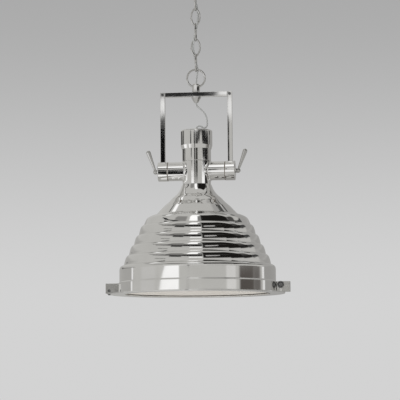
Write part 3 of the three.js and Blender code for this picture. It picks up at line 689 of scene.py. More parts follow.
class PieceTree:
    """A Geometry Nodes tree with named sizes that ends in a plain, painted mesh."""

    def __init__(self, name: str) -> None:
        """Makes an empty tree with a geometry input.

        Args:
            name: What the tree makes.
        """
        self.name = name
        self.tree = bpy.data.node_groups.new(name, "GeometryNodeTree")
        self.nodes = Nodes(self.tree)
        self.identifiers: dict[str, str] = {}
        self.entry = self.nodes.add("NodeGroupInput")
        self.tree.interface.new_socket("Geometry", in_out="OUTPUT", socket_type="NodeSocketGeometry")
        self.source = self.size("Geometry", "NodeSocketGeometry")

    def size(self, name: str, kind: str = "NodeSocketFloat") -> Socket:
        """Adds a named input.

        Args:
            name: The input's name.
            kind: Its socket type.

        Returns:
            The socket that gives its value inside the tree.
        """
        item = self.tree.interface.new_socket(name, in_out="INPUT", socket_type=kind)
        self.identifiers[name] = item.identifier
        return next(s for s in self.entry.outputs if s.identifier == item.identifier)

    def place(self, geometry: Socket, x: object, y: object, z: object, offset: bool = False) -> Socket:
        """Moves the points to a place, or by an offset, given for each axis.

        Args:
            geometry: The geometry to move.
            x: The first coordinate's socket.
            y: The second.
            z: The third.
            offset: Whether the three are added to the place.

        Returns:
            The moved geometry.
        """
        vector = self.nodes.feed(self.nodes.add("ShaderNodeCombineXYZ"), x, y, z)
        return self.nodes.feed(self.nodes.add("GeometryNodeSetPosition"), geometry,
                               **{"Offset" if offset else "Position": vector})

    def finish(self, geometry: Socket) -> None:
        """Ends the tree: instances become real and the material is set.

        Args:
            geometry: What the tree has made.
        """
        real = self.nodes.feed(self.nodes.add("GeometryNodeRealizeInstances"), geometry)
        painted = self.nodes.feed(self.nodes.add("GeometryNodeSetMaterial"), Geometry=real,
                                  Material=self.size("Finish", "NodeSocketMaterial"))
        self.nodes.link(painted, self.nodes.add("NodeGroupOutput").inputs[0])

    def run(self, name: str, source: bpy.types.Mesh, material: bpy.types.Material,
            **sizes: float | int) -> bpy.types.Mesh:
        """Runs the tree once.

        Args:
            name: The new mesh's name.
            source: The mesh that goes in.
            material: The material that it sets.
            sizes: The named inputs, with underscores for spaces.

        Returns:
            The plain mesh that it makes.
        """
        holder = add_object(name + " source", source)
        modifier = holder.modifiers.new(self.name, "NODES")
        modifier.node_group = self.tree
        modifier[self.identifiers["Finish"]] = material
        for size, value in sizes.items():
            modifier[self.identifiers[size.replace("_", " ")]] = value
        made = evaluated(holder)
        made.name = name
        bpy.data.objects.remove(holder)
        return made


class TurningTree(PieceTree):
    """Turns an outline, given as a row of points (radius, 0, height), round the vertical axis."""

    def __init__(self) -> None:
        """Builds the tree: a grid whose columns go round and whose rows follow the outline."""
        super().__init__("turned round an axis")
        nodes = self.nodes
        facets, rows = self.size("Facets", "NodeSocketInt"), self.size("Rows", "NodeSocketInt")
        weld = self.size("Weld")
        grid = nodes.feed(nodes.add("GeometryNodeMeshGrid"), Vertices_X=nodes.math("ADD", facets, 1), Vertices_Y=rows)
        index = nodes.add("GeometryNodeInputIndex").outputs[0]
        column = nodes.math("FLOOR", nodes.math("DIVIDE", nodes.math("ADD", index, 0.5), rows))
        row = nodes.feed(nodes.add("FunctionNodeFloatToInt", rounding_mode="ROUND"),
                         nodes.math("SUBTRACT", index, nodes.math("MULTIPLY", column, rows)))
        outline = nodes.add("GeometryNodeSampleIndex", data_type="FLOAT_VECTOR", domain="POINT")
        radius, _, height = nodes.split(nodes.feed(outline, Geometry=self.source, Index=row,
                                                   Value=nodes.add("GeometryNodeInputPosition").outputs[0]))
        angle = nodes.math("DIVIDE", nodes.math("MULTIPLY", column, 2 * math.pi), facets)
        x, y = (nodes.math("MULTIPLY", radius, nodes.math(name, angle)) for name in ("COSINE", "SINE"))
        merge = nodes.add("GeometryNodeMergeByDistance")
        self.finish(nodes.feed(merge, Geometry=self.place(grid, x, y, height), Distance=weld))


class WireTree(PieceTree):
    """Bends round wire along a closed line."""

    def __init__(self) -> None:
        """Builds the tree: the line becomes a curve that carries a circle."""
        super().__init__("wire bent along a line")
        nodes = self.nodes
        radius, sides = self.size("Wire Radius"), self.size("Sides", "NodeSocketInt")
        line = nodes.feed(nodes.add("GeometryNodeMeshToCurve"), self.source)
        section = nodes.feed(nodes.add("GeometryNodeCurvePrimitiveCircle"), Resolution=sides, Radius=radius)
        self.finish(nodes.feed(nodes.add("GeometryNodeCurveToMesh"), Curve=line, Profile_Curve=section))


class RibTree(PieceTree):
    """Raises equal ribs round a cone: each swells out square to the slope and falls back to a valley."""

    def __init__(self, section: Outline) -> None:
        """Builds the tree.

        Args:
            section: The rib's section, as shares along the slope and of its swell.
        """
        super().__init__("ribs round a cone")
        nodes = self.nodes
        count, swell = self.size("Ribs"), self.size("Swell")
        top_radius, top_level = self.size("Top Radius"), self.size("Top Level")
        foot_radius, foot_level = self.size("Foot Radius"), self.size("Foot Level")
        out = nodes.math("SUBTRACT", foot_radius, top_radius)
        down = nodes.math("SUBTRACT", top_level, foot_level)
        slope = self.hypotenuse(out, down)
        out, down = nodes.math("DIVIDE", out, slope), nodes.math("DIVIDE", down, slope)
        x, y, z = nodes.split(nodes.add("GeometryNodeInputPosition").outputs[0])
        radius = self.hypotenuse(x, y)
        along = nodes.math("ADD", nodes.math("MULTIPLY", nodes.math("SUBTRACT", radius, top_radius), out),
                           nodes.math("MULTIPLY", nodes.math("SUBTRACT", top_level, z), down))
        share = nodes.math("DIVIDE", along, slope)
        inside = nodes.math("MULTIPLY", nodes.math("GREATER_THAN", share, 0.0), nodes.math("LESS_THAN", share, 1.0))
        curve = nodes.add("ShaderNodeFloatCurve")
        points = curve.mapping.curves[0].points
        for place, (along_share, swell_share) in enumerate(section):
            if 0 < place < len(section) - 1:
                points.new(along_share, swell_share)
        points[0].location, points[-1].location = section[0], section[-1]
        curve.mapping.update()
        nodes.link(nodes.math("FRACT", nodes.math("MULTIPLY", share, count)), curve.inputs["Value"])
        rise = nodes.math("MULTIPLY", nodes.math("MULTIPLY", curve.outputs[0], swell), inside)
        outward = nodes.math("DIVIDE", nodes.math("MULTIPLY", rise, down), nodes.math("MAXIMUM", radius, MM))
        self.finish(self.place(self.source, nodes.math("MULTIPLY", x, outward), nodes.math("MULTIPLY", y, outward),
                               nodes.math("MULTIPLY", rise, out), offset=True))

    def hypotenuse(self, a: Socket, b: Socket) -> Socket:
        """Gives the root of the sum of two numbers' squares."""
        squares = (self.nodes.math("MULTIPLY", side, side) for side in (a, b))
        return self.nodes.math("SQRT", self.nodes.math("ADD", *squares))


class RoundTree(PieceTree):
    """Sets copies of a small piece round the vertical axis, at even turns."""

    def __init__(self) -> None:
        """Builds the tree: points on a circle, each with the piece turned to face outward."""
        super().__init__("copies round an axis")
        nodes = self.nodes
        count = self.size("Count", "NodeSocketInt")
        line = nodes.feed(nodes.add("GeometryNodeMeshLine"), Count=count, Offset=(0, 0, 0))
        index = nodes.add("GeometryNodeInputIndex").outputs[0]
        angle = nodes.math("DIVIDE", nodes.math("MULTIPLY", index, 2 * math.pi), count)
        turn = nodes.feed(nodes.add("ShaderNodeCombineXYZ"), Z=angle)
        self.finish(nodes.feed(nodes.add("GeometryNodeInstanceOnPoints"), Points=line, Instance=self.source,
                               Rotation=turn))


class Maker:
    """Makes the meshes of all pieces: turned, bent, ribbed, cut and rounded."""

    SHARP = 32.0  # edges past this angle in degrees stay sharp
    WELD = 0.000002  # points closer than this in metres become one

    def __init__(self, shop: Workshop) -> None:
        """Keeps the workshop and builds the trees that all pieces share.

        Args:
            shop: The workshop that gives the materials.
        """
        self.shop = shop
        self.turning = TurningTree()
        self.wire = WireTree()
        self.rounds = RoundTree()

    def outline_mesh(self, points: list[Triple], closed: bool) -> bpy.types.Mesh:
        """Makes a mesh of points and the edges between them.

        Args:
            points: The points in metres.
            closed: Whether the last is joined to the first.

        Returns:
            The mesh.
        """
        edges = [(i, i + 1) for i in range(len(points) - 1)]
        if closed:
            edges.append((len(points) - 1, 0))
        mesh = bpy.data.meshes.new("outline")
        mesh.from_pydata(points, edges, [])
        return mesh

    def piece(self, name: str, mesh: bpy.types.Mesh, sharp: float = SHARP) -> Piece:
        """Puts a mesh in the scene as a piece, smooth but for its sharp edges and with its faces out.

        Args:
            name: The piece's name.
            mesh: Its mesh, in place.
            sharp: The angle in degrees past which an edge stays sharp.

        Returns:
            The piece.
        """
        mesh.name = name
        shell = bmesh.new()
        shell.from_mesh(mesh)
        if shell.calc_volume(signed=True) < 0:
            bmesh.ops.reverse_faces(shell, faces=shell.faces)
            shell.to_mesh(mesh)
        shell.free()
        shade(mesh, sharp)
        return add_object(name, mesh)

    def turned(self, name: str, outline: Outline, facets: int = 96, ring: bool = False,
               facing: Facing = Facing.UP, centre: Vector | None = None, side: Side = Side.RIGHT,
               sharp: float = SHARP, lean: float = 0.0) -> Piece:
        """Turns an outline of (radius, height) points in mm.

        Args:
            name: The piece's name.
            outline: The points, along the section.
            facets: How many facets go round.
            ring: Whether the section closes on itself.
            facing: Where its axis points.
            centre: The frame point of its height 0, or none for heights over the bezel's underside.
            side: LEFT for a copy reflected to the other side of x = 0.
            sharp: The angle past which an edge stays sharp.
            lean: How far its axis leans to +X, in radians.

        Returns:
            The piece, in place.
        """
        points = [*outline, outline[0]] if ring else list(outline)
        source = self.outline_mesh([(r * MM, 0, h * MM) for r, h in points], False)
        mesh = self.turning.run(name, source, self.shop.material(SMALL), Facets=facets, Rows=len(points),
                                Weld=self.WELD)
        mesh.transform(Matrix.Translation(centre or at(0, 0, 0)) @ Matrix.Rotation(lean, 4, "Y") @ facing.matrix())
        if side is Side.LEFT:
            mesh.transform(Matrix.Scale(-1, 4, (1, 0, 0)))
        return self.piece(name, mesh, sharp)

    def bent(self, name: str, line: list[Vector], wire: float, sides: int = 16) -> Piece:
        """Bends wire along a closed line.

        Args:
            name: The piece's name.
            line: The centre of the wire, as frame points.
            wire: The wire's radius in mm.
            sides: The sides of its section.

        Returns:
            The piece.
        """
        source = self.outline_mesh([tuple(p) for p in line], True)
        mesh = self.wire.run(name, source, self.shop.material(WIRE_PAINTED_DARK), Wire_Radius=wire * MM, Sides=sides)
        return self.piece(name, mesh, 60)

    def block(self, name: str, low: Vector, high: Vector, edge: float = 0.5, steps: int = 3) -> Piece:
        """Makes a block with rounded edges.

        Args:
            name: The piece's name.
            low: Its lowest corner, in the frame.
            high: Its highest corner.
            edge: The radius of its edges in mm.
            steps: The facets over each edge.

        Returns:
            The block.
        """
        shell = bmesh.new()
        bmesh.ops.create_cube(shell, size=1)
        middle, span = (low + high) / 2, high - low
        for vert in shell.verts:
            vert.co = Vector(m + c * s for m, c, s in zip(middle, vert.co, span))
        if edge:
            bmesh.ops.bevel(shell, geom=shell.edges, offset=edge * MM, segments=steps, profile=0.5, affect="EDGES")
        return self.piece(name, mesh_of(shell, name), 50)

    def combine(self, piece: Piece, operation: Boolean, *others: Piece, sharp: float = SHARP) -> Piece:
        """Joins others to a piece, or cuts them out of it, and removes them.

        Args:
            piece: The piece that is kept.
            operation: Whether the others join it or cut it.
            others: The pieces that go into it.
            sharp: The angle past which an edge stays sharp.

        Returns:
            The piece with its new mesh.
        """
        for other in others:
            modifier = piece.modifiers.new("boolean", "BOOLEAN")
            modifier.operation, modifier.solver, modifier.object = operation.value, "EXACT", other
            settle(piece)
            shade(piece.data, sharp)
            bpy.data.objects.remove(other)
        return piece


# Camera and studio


@dataclass(frozen=True)
class Card:
    """A soft-edged patch of the sky, placed in degrees by its direction from the lamp, with a grey or a colour."""

    low_turn: float
    high_turn: float
    low_rise: float
    high_rise: float
    tone: float | Triple
    edge: float = 3.0
    slant: float = 0.0
    upright_end: bool = False
    edge_share: float = 0.125  # how much of its height half a soft edge may take


@dataclass(frozen=True)
class Softbox:
    """A wide lamp: its place and its aim in mm, its width in metres and its power in watts."""

    name: str
    place: Triple
    aim: Triple
    width: float
    power: float


@dataclass
class Studio:
    """The camera, the sky with its light and dark cards, and the floor, in mm and degrees."""

    camera_turn: float = 6.0
    camera_distance: float = 4500.0
    camera_height: float = -200.0
    aim_height: float = 259.0
    aim_right: float = 8.2
    roll: float = -0.5
    lens: float = 148.0
    floor_height: float = -1500.0
    floor_radius: float = 14000.0
    floor_tone: Triple = (0.88, 0.88, 0.875)
    mirror_height: float = 338.6
    backdrop: float = 0.65
    backdrop_top: float = 0.40
    backdrop_turns: Pair = (0.03, 0.24)  # the sines of the rises between which its tone turns
    sky: Triple = (0.565, 0.56, 0.54)
    zenith: Triple = (0.56, 0.555, 0.535)
    sky_turns: Pair = (10, 90)
    softboxes: tuple[Softbox, ...] = (
        Softbox("soft light from below", (0, -200, -1350), (0, 0, 0), 2.2, 10),
        Softbox("soft light in front", (-900, -3200, 900), (0, 0, 400), 2.0, 15),
    )
    cards: tuple[Card, ...] = (
        # the far side of the room
        Card(110, 180, -60, 14, (0.37, 0.365, 0.355), 5),
        Card(-180, -108, -60, 14, (0.44, 0.435, 0.42), 5),
        Card(-150, -104, 5.9, 9.4, 0.04, 5),
        Card(118, 180, 14, 66, (0.40, 0.395, 0.385), 6),
        # low: the band and the hoop
        Card(-90, -64, -14, 5.9, (0.62, 0.615, 0.60), 8),
        Card(-64, -50, -14, 5.9, (0.40, 0.395, 0.385), 3, 3),
        Card(-69, -27, -14, 5.9, 1.12, 2.5, 4.5, True),
        Card(-60, -8, -18, -1, 1.15, 3),
        Card(42, 57, -14, 5.6, (0.74, 0.735, 0.72), 4),
        Card(63, 90, -14, 5.6, (0.10, 0.09, 0.082), 5),
        Card(88, 104, -14, 5.6, (0.16, 0.15, 0.142), 8),
        Card(109, 114, -20, 5.8, 0.9, 2),
        Card(-113, -109, -20, 5.8, 0.95, 2),
        # middle: the neck, the sleeve and the cap
        Card(-46, -25, 5.8, 6.8, 1.15, 3),
        Card(43, 68, 5.8, 7.05, 1.15, 3),
        Card(70, 98, 5.85, 7.1, 0.01, 3),
        Card(49, 98, 7.0, 7.85, 0.01, 3),
        Card(40, 93, 7.8, 8.6, 0.01, 3),
        Card(14, 66, 8.55, 9.4, 0.01, 3),
        Card(24, 98, 9.6, 11.2, 0.02, 4),
        Card(-8, 8, 6.5, 8.0, (0.05, 0.05, 0.045), 3),
        Card(-8, 23, 7.95, 8.6, 0.03, 3),
        Card(-47, -39, 7.2, 8.7, 0.04, 3),
        Card(-20, 5, 8.7, 9.4, 0.95, 3),
        # high: the ribs
        Card(9.5, 82, 36, 66, (0.012, 0.011, 0.01), 3),
        Card(9.5, 60, 26.3, 36.5, (0.012, 0.011, 0.01), 2),
        Card(57, 84, 24, 37, (0.012, 0.011, 0.01), 2),
        Card(82, 105, 22.3, 31, (0.02, 0.019, 0.018), 3),
        Card(82, 100, 30, 44, (0.08, 0.078, 0.075), 5),
        Card(104, 122, 21, 30, 0.06, 3),
        Card(14, 39, 32.6, 34.8, (0.56, 0.55, 0.54), 1.5),
        Card(-20, 7, 58, 70, 1.25, 3),
        Card(-20, 1, 42.5, 58, 1.25, 3),
        Card(1, 9, 42.5, 58, (0.24, 0.24, 0.235), 2),
        Card(-14, 8, 28.3, 30.8, 1.25, 2),
        Card(-60, -28, 41, 55, (0.28, 0.275, 0.265), 6),
        Card(-60, -28, 36.5, 41, (0.17, 0.165, 0.16), 2),
        Card(-28, 9, 36.8, 41, (0.09, 0.088, 0.085), 2),
        Card(-100, -50, 38, 40.6, 0.03, 1.5),
        Card(-86, -50, 33, 36, (0.15, 0.145, 0.14), 2),
        Card(-50, -28, 30.8, 36.5, (0.05, 0.05, 0.048), 1.5),
        Card(-28, 8.5, 33, 37, 0.006, 1.5),
        Card(-74, -54, 24.0, 25.4, (0.12, 0.12, 0.115), 1.5),
        # behind, high: the flare
        Card(-150, -136, 45.5, 51, (0.08, 0.08, 0.075), 1.5),
        Card(-150, -122, 51.5, 57.5, 1.2, 1.5),
        Card(-150, -136, 57.5, 60.5, (0.15, 0.15, 0.14), 1.0),
        Card(136, 155, 51.5, 56.5, 0.02, 1.2),
        Card(136, 155, 46.7, 51, 0.95, 1.2),
        Card(140, 156, 41, 46.2, 0.03, 1.5),
        Card(128, 136, 42, 56, (0.08, 0.08, 0.075), 1.5),
        # above the yoke: the chain, the ring and the eye
        Card(-52, 14, 9.9, 15.5, 1.0, 4),
        # a narrow strip: the yoke's flat bars and the arms
        Card(-20, -11.2, 6.6, 8.75, 0.004, 0.5),
        Card(-13.7, -12.5, 4.7, 6.7, 0.01, 0.3),
        Card(-16, -11.2, 9.5, 20, 0.03, 0.5),
        Card(-16.5, -11.8, -37, 2.3, 0.01, 0.6),
        Card(-26, -11.8, -80, -40, 1.1, 3),
    )

    def build(self) -> None:
        """Makes the camera, the sky, the lamps and the floor."""
        self.make_camera()
        self.make_sky()
        for softbox in self.softboxes:
            self.make_lamp(softbox)
        self.make_floor()
        bpy.context.scene.view_settings.view_transform = "Standard"

    def make_camera(self) -> None:
        """Sets the camera at the photograph's viewing angle."""
        turn = math.radians(self.camera_turn)
        toward = Vector((math.sin(turn), -math.cos(turn), 0))
        sideways = Vector((math.cos(turn), math.sin(turn), 0))
        place = toward * self.camera_distance * MM + at(0, 0, self.camera_height)
        aim = at(0, 0, self.aim_height) + sideways * self.aim_right * MM
        data = bpy.data.cameras.new("camera")
        data.lens = self.lens
        camera = add_object("camera", data)
        camera.rotation_mode = "QUATERNION"
        camera.location = place
        level = (aim - place).to_track_quat("-Z", "Y")
        camera.rotation_quaternion = level @ Matrix.Rotation(math.radians(self.roll), 4, "Z").to_quaternion()
        bpy.context.scene.camera = camera

    def make_lamp(self, softbox: Softbox) -> None:
        """Makes a wide soft lamp that lights matt surfaces and stays out of the metal's mirror.

        Args:
            softbox: The lamp.
        """
        light = bpy.data.lights.new(softbox.name, "AREA")
        light.shape, light.size, light.energy = "DISK", softbox.width, softbox.power
        lamp = add_object(softbox.name, light)
        lamp.location = at(*softbox.place)
        lamp.rotation_mode = "QUATERNION"
        lamp.rotation_quaternion = (at(*softbox.aim) - lamp.location).to_track_quat("-Z", "Y")
        lamp.visible_camera = lamp.visible_glossy = False

    def card_mask(self, nodes: Nodes, turn: Socket, rise: Socket, card: Card) -> Socket:
        """Gives 1 inside a card and 0 outside it, with a soft edge.

        Args:
            nodes: The sky's nodes.
            turn: The direction's turn from the camera in degrees, to the right.
            rise: The direction's height over the horizon in degrees.
            card: The card.

        Returns:
            The mask.
        """
        leaning = nodes.math("SUBTRACT", turn, nodes.math("MULTIPLY", rise, card.slant)) if card.slant else turn
        half = card.edge / 2
        thin = min(half, (card.high_rise - card.low_rise) * card.edge_share)
        end = turn if card.upright_end else leaning
        sides = [
            nodes.spread(leaning, card.low_turn - half, card.low_turn + half, 0, 1, True),
            nodes.spread(end, card.high_turn - half, card.high_turn + half, 1, 0, True),
            nodes.spread(rise, card.low_rise - thin, card.low_rise + thin, 0, 1, True),
            nodes.spread(rise, card.high_rise - thin, card.high_rise + thin, 1, 0, True),
        ]
        mask = sides[0]
        for side in sides[1:]:
            mask = nodes.math("MULTIPLY", mask, side)
        return mask

    def shown(self, nodes: Nodes, place: Socket) -> Socket:
        """Gives the studio's tone in a direction, the cards on an even warm grey.

        Args:
            nodes: The tree's nodes.
            place: The direction, or a point seen from the frame's origin.

        Returns:
            The tone.
        """
        x, y, z = nodes.split(nodes.feed(nodes.add("ShaderNodeVectorMath", operation="NORMALIZE"), place))
        around = nodes.math("ARCTAN2", x, nodes.math("MULTIPLY", y, -1))
        turn = nodes.math("SUBTRACT", nodes.math("DEGREES", around), self.camera_turn)
        turn = nodes.math("WRAP", turn, 180, -180)
        rise = nodes.math("DEGREES", nodes.math("ARCSINE", z))
        colour = self.blended(nodes, nodes.spread(rise, *self.sky_turns, 0, 1, True), self.sky, self.zenith)
        for card in self.cards:
            colour = self.blended(nodes, self.card_mask(nodes, turn, rise, card), colour, card.tone)
        return colour

    def make_sky(self) -> None:
        """Makes the world: the studio for the object, and a plain pale backdrop for the camera."""
        world = bpy.data.worlds.new("studio")
        world.use_nodes = True
        bpy.context.scene.world = world
        world.node_tree.nodes.clear()
        nodes = Nodes(world.node_tree)
        way = nodes.add("ShaderNodeTexCoord").outputs["Generated"]
        light = nodes.feed(nodes.add("ShaderNodeBackground"), Color=self.shown(nodes, way))
        higher = nodes.spread(nodes.split(way)[2], *self.backdrop_turns, 0, 1, True)
        plain = nodes.feed(nodes.add("ShaderNodeBackground"),
                           Color=self.blended(nodes, higher, self.backdrop, self.backdrop_top))
        to_camera = nodes.add("ShaderNodeLightPath").outputs["Is Camera Ray"]
        nodes.link(self.chosen(nodes, to_camera, light, plain), nodes.add("ShaderNodeOutputWorld").inputs["Surface"])

    def blended(self, nodes: Nodes, factor: Socket, first: object, second: object) -> Socket:
        """Mixes two colours, each a socket, a grey or three numbers.

        Args:
            nodes: The tree's nodes.
            factor: The share of the second.
            first: The first colour.
            second: The second colour.

        Returns:
            The mixed colour.
        """
        mix = nodes.add("ShaderNodeMix", data_type="RGBA")
        nodes.link(factor, mix.inputs["Factor"])
        for name, value in (("A", first), ("B", second)):
            socket = next(s for s in mix.inputs if s.name == name and s.type == "RGBA")
            if isinstance(value, Socket):
                nodes.link(value, socket)
            else:
                socket.default_value = (*(value if isinstance(value, tuple) else (value,) * 3), 1)
        return next(s for s in mix.outputs if s.type == "RGBA")

    def chosen(self, nodes: Nodes, test: Socket, first: Socket, second: Socket) -> Socket:
        """Chooses between two shaders: the first where the test is 0 and the second where it is 1."""
        return nodes.feed(nodes.add("ShaderNodeMixShader"), test, first, second)

    def make_floor(self) -> None:
        """Makes the plain pale floor, far below the lamp."""
        disc = bmesh.new()
        bmesh.ops.create_circle(disc, cap_ends=True, segments=96, radius=self.floor_radius * MM)
        mesh = mesh_of(disc, "floor")
        mesh.transform(Matrix.Translation(at(0, 0, self.floor_height)))
        floor = add_object("floor", mesh)
        surface = Surface("plain pale floor").set(Base_Color=(*self.floor_tone, 1), Roughness=0.9)
        nodes = surface.nodes
        seen = nodes.feed(nodes.add("ShaderNodeVectorMath", operation="SUBTRACT"), surface.place,
                          at(0, 0, self.mirror_height))
        studio = nodes.feed(nodes.add("ShaderNodeEmission"), Color=self.shown(nodes, seen))
        in_mirror = nodes.add("ShaderNodeLightPath").outputs["Is Glossy Ray"]
        above = self.chosen(nodes, in_mirror, surface.shader.outputs[0], studio)
        # clear from below, so that the lamp can be looked at from there
        clear = nodes.add("ShaderNodeBsdfTransparent").outputs[0]
        sided = self.chosen(nodes, nodes.add("ShaderNodeNewGeometry").outputs["Backfacing"], above, clear)
        output = next(n for n in surface.material.node_tree.nodes if n.type == "OUTPUT_MATERIAL")
        nodes.link(sided, output.inputs["Surface"])
        mesh.materials.append(surface.material)


# Cords


@dataclass(frozen=True)
class CordRoute:
    """A cord's route: the points in mm that it passes."""

    points: tuple[Triple, ...]

    def line(self, spacing: float = 1.2) -> list[Vector]:
        """Gives frame points along the smooth curve through the route, about a spacing in mm apart."""
        return [at(*p) for p in curve_through([Vector(p) for p in self.points], spacing)]


@dataclass(frozen=True)
class CordSection:
    """A stretch of cord between two bodies that one joint joins."""

    name: str
    upper: str
    lower: str
    foot: float
    bend_from: float
    bend_to: float


CHAIN_TOP, LINK_PITCH, LINKS = 813.6, 43.0, 5


def chain_route() -> CordRoute:
    """Gives the cord's way through the chain.

    Returns:
        The route from the canopy through the links and the ring to the gland.
    """
    points = [(0, 30, 884.6), (0, 30, 856.2), (-1, 29.2, 848.2), (-4, 22, 838.2), (-7, 12.5, 830.2)]
    for link in range(LINKS):
        for rise in (1, 0.5, 0, -0.5):
            if link == 0 and rise == 1:
                continue
            turn = math.radians(90 * (1 - link) + 45 * math.sin(math.radians(90 * rise)))
            points.append((6.8 * math.cos(turn), 6.8 * math.sin(turn), CHAIN_TOP - LINK_PITCH * link + 21.5 * rise))
    points += [(4.8, 5, 620.1), (3.2, 7.4, 610.95), (1, 8.7, 599.95), (0.3, 8.6, 590.6), (0, 7.8, 584.6),
               (0, 6.1, 575.1), (0, 4.3, 566.1), (0, 1.6, 559.9), (0, 0.3, 552.9), (0, 0, 537.6)]
    return CordRoute(tuple(points))


def slack_route() -> CordRoute:
    """Gives the way of the loop of slack.

    Returns:
        The route from the gland to the cap and on into the neck.
    """
    drop = [(0.7, -0.2, 0.068), (3.6, -1.2, 0.145), (9, -2.9, 0.214), (15.4, -4.6, 0.289), (21.2, -5.8, 0.377),
            (25.9, -6.1, 0.479), (28.9, -5.6, 0.588), (30.2, -4.6, 0.686), (30.6, -3.4, 0.768), (30.4, -2.2, 0.832),
            (29.8, -1.1, 0.876), (28.3, 0, 0.913), (26, 1.2, 0.94), (23.1, 2.1, 0.953), (20.2, 2.8, 0.952),
            (17.5, 3.1, 0.938), (15.3, 3.1, 0.918), (13.1, 3, 0.899), (10.3, 2.6, 0.882), (7.3, 1.9, 0.881),
            (4.5, 1.2, 0.896), (2.2, 0.6, 0.921), (0.6, 0.1, 0.957)]
    loop = [(x, y, 529.3 - 73.3 * share) for x, y, share in drop]
    return CordRoute(((0, 0, 537.3), (0, 0, 529.3), *loop, (0, 0, 456), (0, 0, 447.2), (0, 0, 335.2)))


@dataclass
class Cords:
    """The cord: seven sections through the chain, one for each joint, and the loop of slack."""

    shop: Workshop
    diameter: float = 4.2
    sides: int = 16
    sections: tuple[CordSection, ...] = (
        CordSection("cord_from_canopy", "ceiling", "chain_link_1", 813.6, 845, 822),
        CordSection("cord_past_link_1", "chain_link_1", "chain_link_2", 770.6, 801, 779),
        CordSection("cord_past_link_2", "chain_link_2", "chain_link_3", 727.6, 758, 736),
        CordSection("cord_past_link_3", "chain_link_3", "chain_link_4", 684.6, 715, 693),
        CordSection("cord_past_link_4", "chain_link_4", "chain_link_5", 641.6, 672, 650),
        CordSection("cord_past_link_5", "chain_link_5", "ring", 597.95, 629, 606),
        CordSection("cord_into_gland", "ring", "yoke", 0.0, 588, 560),
    )

    def build(self) -> None:
        """Makes every section."""
        line = chain_route().line()
        rings = rings_round(line, self.diameter / 2 * MM, self.sides)
        start = 0
        for section in self.sections:
            end = next((i for i, p in enumerate(line) if i > start and p.z < up(section.foot)), len(line) - 1)
            self.section(section, line, rings, start, end, "cord_chain")
            start = end
        line = slack_route().line()
        slack = CordSection("cord_loop_of_slack", "yoke", "lamp", 0.0, 529, 458)
        rings = rings_round(line, self.diameter / 2 * MM, self.sides)
        self.section(slack, line, rings, 0, len(line) - 1, "cord_slack")

    def section(self, section: CordSection, line: list[Vector], rings: list[list[Vector]], start: int, end: int,
                node: str) -> None:
        """Makes one stretch as a closed tube.

        Args:
            section: Its name, bodies and levels.
            line: The whole route.
            rings: The surface points of the whole route.
            start: The index of its first point.
            end: The index of its last point.
            node: The CAD node that it helps to replace.
        """
        along = list(accumulate(((b - a).length for a, b in zip(line, line[1:])), initial=0.0))
        count = self.sides
        mesh = tube_mesh(section.name, rings[start:end + 1])
        layer = mesh.uv_layers.new(name="cord")
        for face in mesh.polygons:
            columns = [mesh.loops[i].vertex_index % count for i in face.loop_indices]
            seam = 0 in columns and count - 1 in columns and len(columns) == 4  # its first column counts as the last
            for loop, column in zip(face.loop_indices, columns):
                ring = start + mesh.loops[loop].vertex_index // count
                layer.data[loop].uv = (along[ring], (count if seam and column == 0 else column) / count)
        shade(mesh, 60)
        piece = add_object(section.name, mesh)
        self.shop.paint(piece, CORD)
        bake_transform(piece)
        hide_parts(node)
        log.info("%s is %.0f mm long", section.name, (along[end] - along[start]) / MM)


# Sub-assemblies


@dataclass
class Assembly:
    """A sub-assembly. Its sizes are its fields, in mm, with heights over the bezel's underside."""

    shop: Workshop
    maker: Maker

    def rod(self, facing: Facing, radius: float, low: float, high: float, centre: Vector, facets: int = 48) -> Piece:
        """Makes a plain rod to cut a hole with, between two heights on an axis through a frame point."""
        return self.maker.turned("cutter", [(0, low), (radius, low), (radius, high), (0, high)], facets,
                                 facing=facing, centre=centre)

    def cut(self, piece: Piece, *tools: Piece, sharp: float = Maker.SHARP) -> Piece:
        """Cuts tools out of a piece and gives the piece."""
        return self.maker.combine(piece, Boolean.CUT, *tools, sharp=sharp)

    def fit(self, name: str, outline: Outline, finish: Finish, body: str, node: str, **shape: object) -> None:
        """Turns a piece and hands it over; the shape's sizes go to Maker.turned as they are."""
        self.shop.hand_over(self.maker.turned(name, outline, **shape), finish, body, node)


